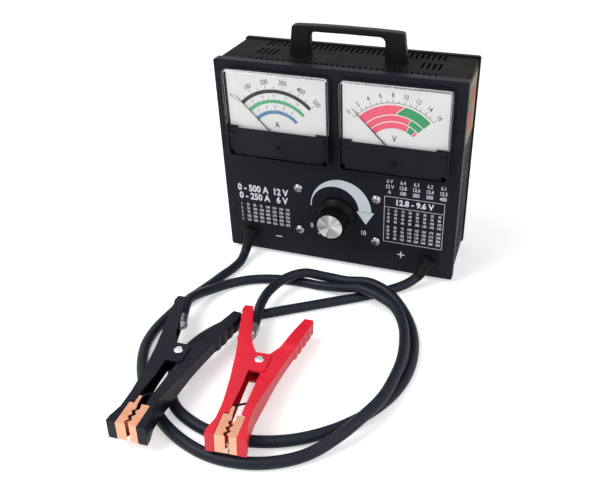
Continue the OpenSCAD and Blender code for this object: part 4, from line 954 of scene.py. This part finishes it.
def spun_metal():
    """Aluminium turned on a lathe. The rings are a very fine noise over the distance from the
    knob's axis. The wedges of light and shade are painted highlight and painted shade in the base
    colour: the cosine of twice the angle round it, plus a broad noise taken round a circle."""
    lit_angle, even_share, noise_share, noise_drop = 0.9, 0.22, 3.2, 1.0
    group, given, out = socket_group(
        "spun_rings_and_painted_sheen", {"Centre Height": ("NodeSocketFloat", 0.0)},
        {"Painted Wedge": "NodeSocketFloat", "Height": "NodeSocketFloat"})
    place = wired(group, group.nodes.new("ShaderNodeSeparateXYZ"),
                  Vector=group.nodes.new("ShaderNodeTexCoord").outputs["Object"])
    up = math_node(group, "SUBTRACT", place.outputs[2], given["Centre Height"])
    angle = math_node(group, "ARCTAN2", up, place.outputs[0])
    radius = math_node(group, "SQRT", math_node(group, "ADD", math_node(group, "POWER", up, 2),
                                                math_node(group, "POWER", place.outputs[0], 2)))
    circle = wired(group, group.nodes.new("ShaderNodeCombineXYZ"),
                   X=math_node(group, "COSINE", angle), Y=math_node(group, "SINE", angle))
    uneven = noise_of(group, 1.5, 2.5, circle.outputs[0])
    # Painted sheen: the colour is lighter and darker in wedges by twice the angle round the axis.
    turn = math_node(group, "COSINE", math_node(group, "MULTIPLY", 2, math_node(
        group, "SUBTRACT", angle, lit_angle)))
    noise = math_node(group, "MULTIPLY", uneven, noise_share)
    painted_wedge = math_node(group, "ADD", math_node(group, "MULTIPLY", turn, even_share),
                      math_node(group, "SUBTRACT", noise, noise_drop))
    clamped = wired(group, group.nodes.new("ShaderNodeClamp"), Value=painted_wedge)
    feed(group, out["Painted Wedge"], clamped.outputs[0])
    ring = wired(group, group.nodes.new("ShaderNodeCombineXYZ"), X=radius)
    feed(group, out["Height"], noise_of(group, 9000, 1, ring.outputs[0]))
    made, tree, shader = new_material("spun_aluminium", Metallic=1, Roughness=0.42)
    node = placed_group(tree, group, Centre_Height=KNOB_Z * MM)
    # Painted shade and painted highlight: the two base colours that the painted wedges mix between.
    dark, light = display(120, 125, 132), display(250, 253, 255)
    wired(tree, shader, Base_Color=mix_colour(tree, node.outputs["Painted Wedge"], dark, light))
    relief(tree, node.outputs["Height"], 0.25, 0.01, shader)
    return made


KNOB_PLASTIC = finish_of("knob_plastic", display(11, 12, 16), 0.34, mottle=0.08, spread=0.15,
                         patch=90.0, grain=2500.0, Specular_IOR_Level=0.07)
knob = piece("fluted_knob", turned("fluted_knob", knob_profile(), 240, 0, KNOB_Z, FLUTE_DEPTH),
             KNOB_PLASTIC, "load_control")
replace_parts(knob, "load_knob")
cap = piece("spun_cap", turned("spun_cap", cap_profile(), 96, 0, KNOB_Z), spun_metal(),
            "load_control")
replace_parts(cap, "knob_cap")
piece("pointer_line", pointer_line(), WHITE_INK, "load_control")


# ---------------------------------------------------------------- panel screws and cup washers
# Four long bright steel screws, which hold the load pile behind the panel, in pressed cup
# washers plated with dull nickel.
def plated(name, colour, roughness, mottle=0.1, spread=0.12):
    """Smooth plated or ground metal with faint broad stains."""
    return finish_of(name, colour, roughness, metallic=1.0, mottle=mottle, spread=spread,
                     patch=200.0, grain=1200.0, depth=0.004)


NICKEL = plated("dull_nickel", display(192, 192, 196), 0.22)
SCREW_STEEL = plated("screw_steel", display(160, 160, 164), 0.18)
dress(SCREW_STEEL, "pile_screws")
dress(NICKEL, "cup_washers")
soften("cup_washers", 0.25)
soften("pile_screws", 0.15)


# ---------------------------------------------------------------- cable glands
# Rubber glands: a collar on the panel, with its barrel and nut behind, and a boot with three
# low ribs that tapers down on to the lead.
GLAND_RUBBER = finish_of("gland_rubber", display(14, 15, 20), 0.5, mottle=0.12, spread=0.1,
                         patch=100.0, grain=1500.0, depth=0.03, Specular_IOR_Level=0.1)
GLAND_X = 108.0
GLAND_Z = 28.0
NUT_R = 10
BARREL_R = 8
COLLAR_R = 11


def collar_profile():
    """From the nut's back, over the nut, along the barrel through the panel, and over the
    rounded collar to its face."""
    front, back = PANEL_Y, box_mm("cable_glands")[1][1]
    return [(back, 0.3, 0), (back, NUT_R, 0), (front + 1.25, NUT_R, 0),
            (front + 1.25, BARREL_R, 0), (front - 0.01, BARREL_R, 0), (front - 0.01, COLLAR_R, 0),
            (front - 1.7, COLLAR_R, 0), (front - 2.3, 10.7, 0), (front - 2.6, 10.1, 0),
            (front - 2.6, 0.3, 0)]


def boot(name, x, route):
    """Rings along the lead's first stretch. Their radius falls by a power of the share of the
    way left, from wide at the collar to close round the lead, and a sine adds the ribs."""
    root = np.array([x, PANEL_Y - 2.5, GLAND_Z])
    tip = np.array(route[0], float)
    way = (tip - root) / np.linalg.norm(tip - root)
    lead_in = smooth_line(route, 4)[1:4] / MM
    start = [root - 1.4 * way, root + 3 * way, root + 6 * way, root + 9 * way, tip]
    line = smooth_line(np.vstack([start, lead_in]), 0.5)
    share = np.linspace(0, 1, len(line))
    clearance, flare, fall, rib_h, waves = 0.25, 2.9, 3.2, 0.16, 6
    taper = CORD_D / 2 + clearance + flare * (1 - share) ** fall
    ribs = rib_h * np.sin(share * waves * 2 * math.pi) * (share < 0.5)
    return skin(name, rings_along(line, (taper + ribs) * MM, 40, up=(1, 0, 0)))


for side, x, route in (("negative", -GLAND_X, NEGATIVE_ROUTE),
                       ("positive", GLAND_X, POSITIVE_ROUTE)):
    for mesh in (turned(f"{side}_collar", collar_profile(), 48, x, GLAND_Z),
                 boot(f"{side}_boot", x, route)):
        made = piece(mesh.name, mesh, GLAND_RUBBER, "tester")
        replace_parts(made, "cable_glands")


# ---------------------------------------------------------------- spring clamps
# Two battery clamps, one black and one red: arms pressed from painted steel, toothed copper
# jaws, a chromed rivet and a crimp that grips the end of the lead.
PAINT_GRAIN = {"patch": 55.0, "grain": 900.0, "depth": 0.03}
BLACK_PAINT = finish_of("black_clamp_paint", display(19, 22, 32), 0.34, mottle=0.15, spread=0.15,
                        Specular_IOR_Level=0.13, **PAINT_GRAIN)
RED_PAINT = finish_of("red_clamp_paint", display(214, 22, 46), 0.38, mottle=0.06, spread=0.12,
                      Specular_IOR_Level=0.4, **PAINT_GRAIN)
CHROME = plated("chrome_plate", display(225, 225, 228), 0.16, mottle=0.08, spread=0.1)
COPPER = finish_of("copper_sheet", display(236, 170, 140), 0.28, metallic=1.0, mottle=0.08,
                   spread=0.2, patch=160.0, grain=1400.0, depth=0.02)
for side, paint in (("black", BLACK_PAINT), ("red", RED_PAINT)):
    dress(paint, f"{side}_fixed_arm", f"{side}_moving_arm")
    dress(COPPER, f"{side}_fixed_jaw", f"{side}_moving_jaw")
    for part in ("fixed_arm", "moving_arm"):
        soften(f"{side}_{part}", 0.7, segments=3, angle=30)
    for part in ("fixed_jaw", "moving_jaw"):
        soften(f"{side}_{part}", 0.2, angle=30)
dress(CHROME, "clamp_rivets")
dress(FLOOR_STEEL, "clamp_crimps")
soften("clamp_rivets", 0.3)


# ---------------------------------------------------------------- clamp springs and jumpers
# A coiled wire spring round each rivet pushes the handles apart, and a thin jumper in each
# clamp joins its two jaws. Both bend as the clamp opens. CLAMPS gives each clamp's place and
# turn on the table, which are those of its solids.
CLAMPS = {"black": ((-88, -245, 20.9), (-1.25, 2, 3)), "red": ((-10.9, -235, 20.5), (-2.5, 3, 7))}
SPRING_STEEL = finish_of("spring_steel", display(58, 55, 54), 0.3, metallic=1.0, mottle=0.25,
                         spread=0.2, patch=250.0, depth=0.01)
JUMPER_PATH = [(-3.8, -70, 7.56), (-3.8, -64.5, 7.2), (-2.5, -59, 5.5), (1, -54, 3.5),
               (5.5, -51, 2), (9.5, -53.5, 1), (11, -60, 0.5), (10.4, -69, 0)]
WIRE_R = 0.9
JUMPER_R = 1.0


def on_clamp(name, points):
    """Points of a clamp's own frame, in millimetres, in the object's frame in metres."""
    place, turn = CLAMPS[name]
    matrix = np.array(Euler([math.radians(a) for a in turn]).to_matrix())
    return (np.asarray(points, float) @ matrix.T + place) * MM


def spring_line():
    """One straight leg, the coil round the rivet and the other leg, as a line of points. The
    coil is a helix whose height grows evenly with its angle."""
    radius, turns, half_h, points = 6.5, 4.5, 3.9, 130
    angle = np.linspace(math.pi, math.pi + 2 * math.pi * turns, points)
    coil = np.stack([radius * np.cos(angle), radius * np.sin(angle),
                     np.linspace(-half_h, half_h, points)], 1)
    first = np.linspace((-22.5, 22, -half_h), (-8, 3.4, -half_h), 8)
    last = np.linspace((8, 4.6, half_h), (14.5, 25, half_h), 8)
    return np.vstack([first, coil, last])


def clamp_wire(side, kind, line, radius, material):
    """Wire along a line in a clamp's frame, placed on the table with its clamp."""
    name = f"{side}_{kind}"
    mesh = skin(name, rings_along(on_clamp(side, line), radius * MM, 12))
    made = piece(name, mesh, material, None)
    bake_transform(made)
    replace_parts(made, f"clamp_{kind}s")


for side in CLAMPS:
    clamp_wire(side, "spring", spring_line(), WIRE_R, SPRING_STEEL)
    clamp_wire(side, "jumper", smooth_line(JUMPER_PATH, 1.0) / MM, JUMPER_R, JACKET)


# ---------------------------------------------------------------- pieces inside the case
# The carbon pile between two steel yokes, its ceramic tube and copper electrodes, the brass
# shunt and terminals, and the wiring between them.
BRASS = finish_of("brass", display(206, 170, 100), 0.3, metallic=1.0, mottle=0.12, spread=0.15,
                  patch=120.0, depth=0.01)
CARBON = finish_of("pressed_carbon", display(40, 40, 42), 0.65, mottle=0.25, spread=0.1,
                   patch=150.0, grain=2500.0, depth=0.05)
CERAMIC = finish_of("glazed_ceramic", display(232, 228, 212), 0.35, mottle=0.05, depth=0.01)
LAMINATE = finish_of("paper_laminate", display(176, 146, 96), 0.55, mottle=0.15, depth=0.02)
dress(FLOOR_STEEL, "front_yoke", "pressure_plate", "rear_yoke", "pile_nuts", "lead_screw",
      "meter_magnets")
dress(COPPER, "front_electrode", "rear_electrode", "negative_strap", "positive_strap")
dress(BRASS, "shunt", "meter_nuts", "meter_terminals", "screw_bushing")
dress(CARBON, "carbon_discs")
dress(CERAMIC, "guide_tube")
dress(LAMINATE, "rear_insulator")
dress(JACKET, "inner_leads", "meter_wires")
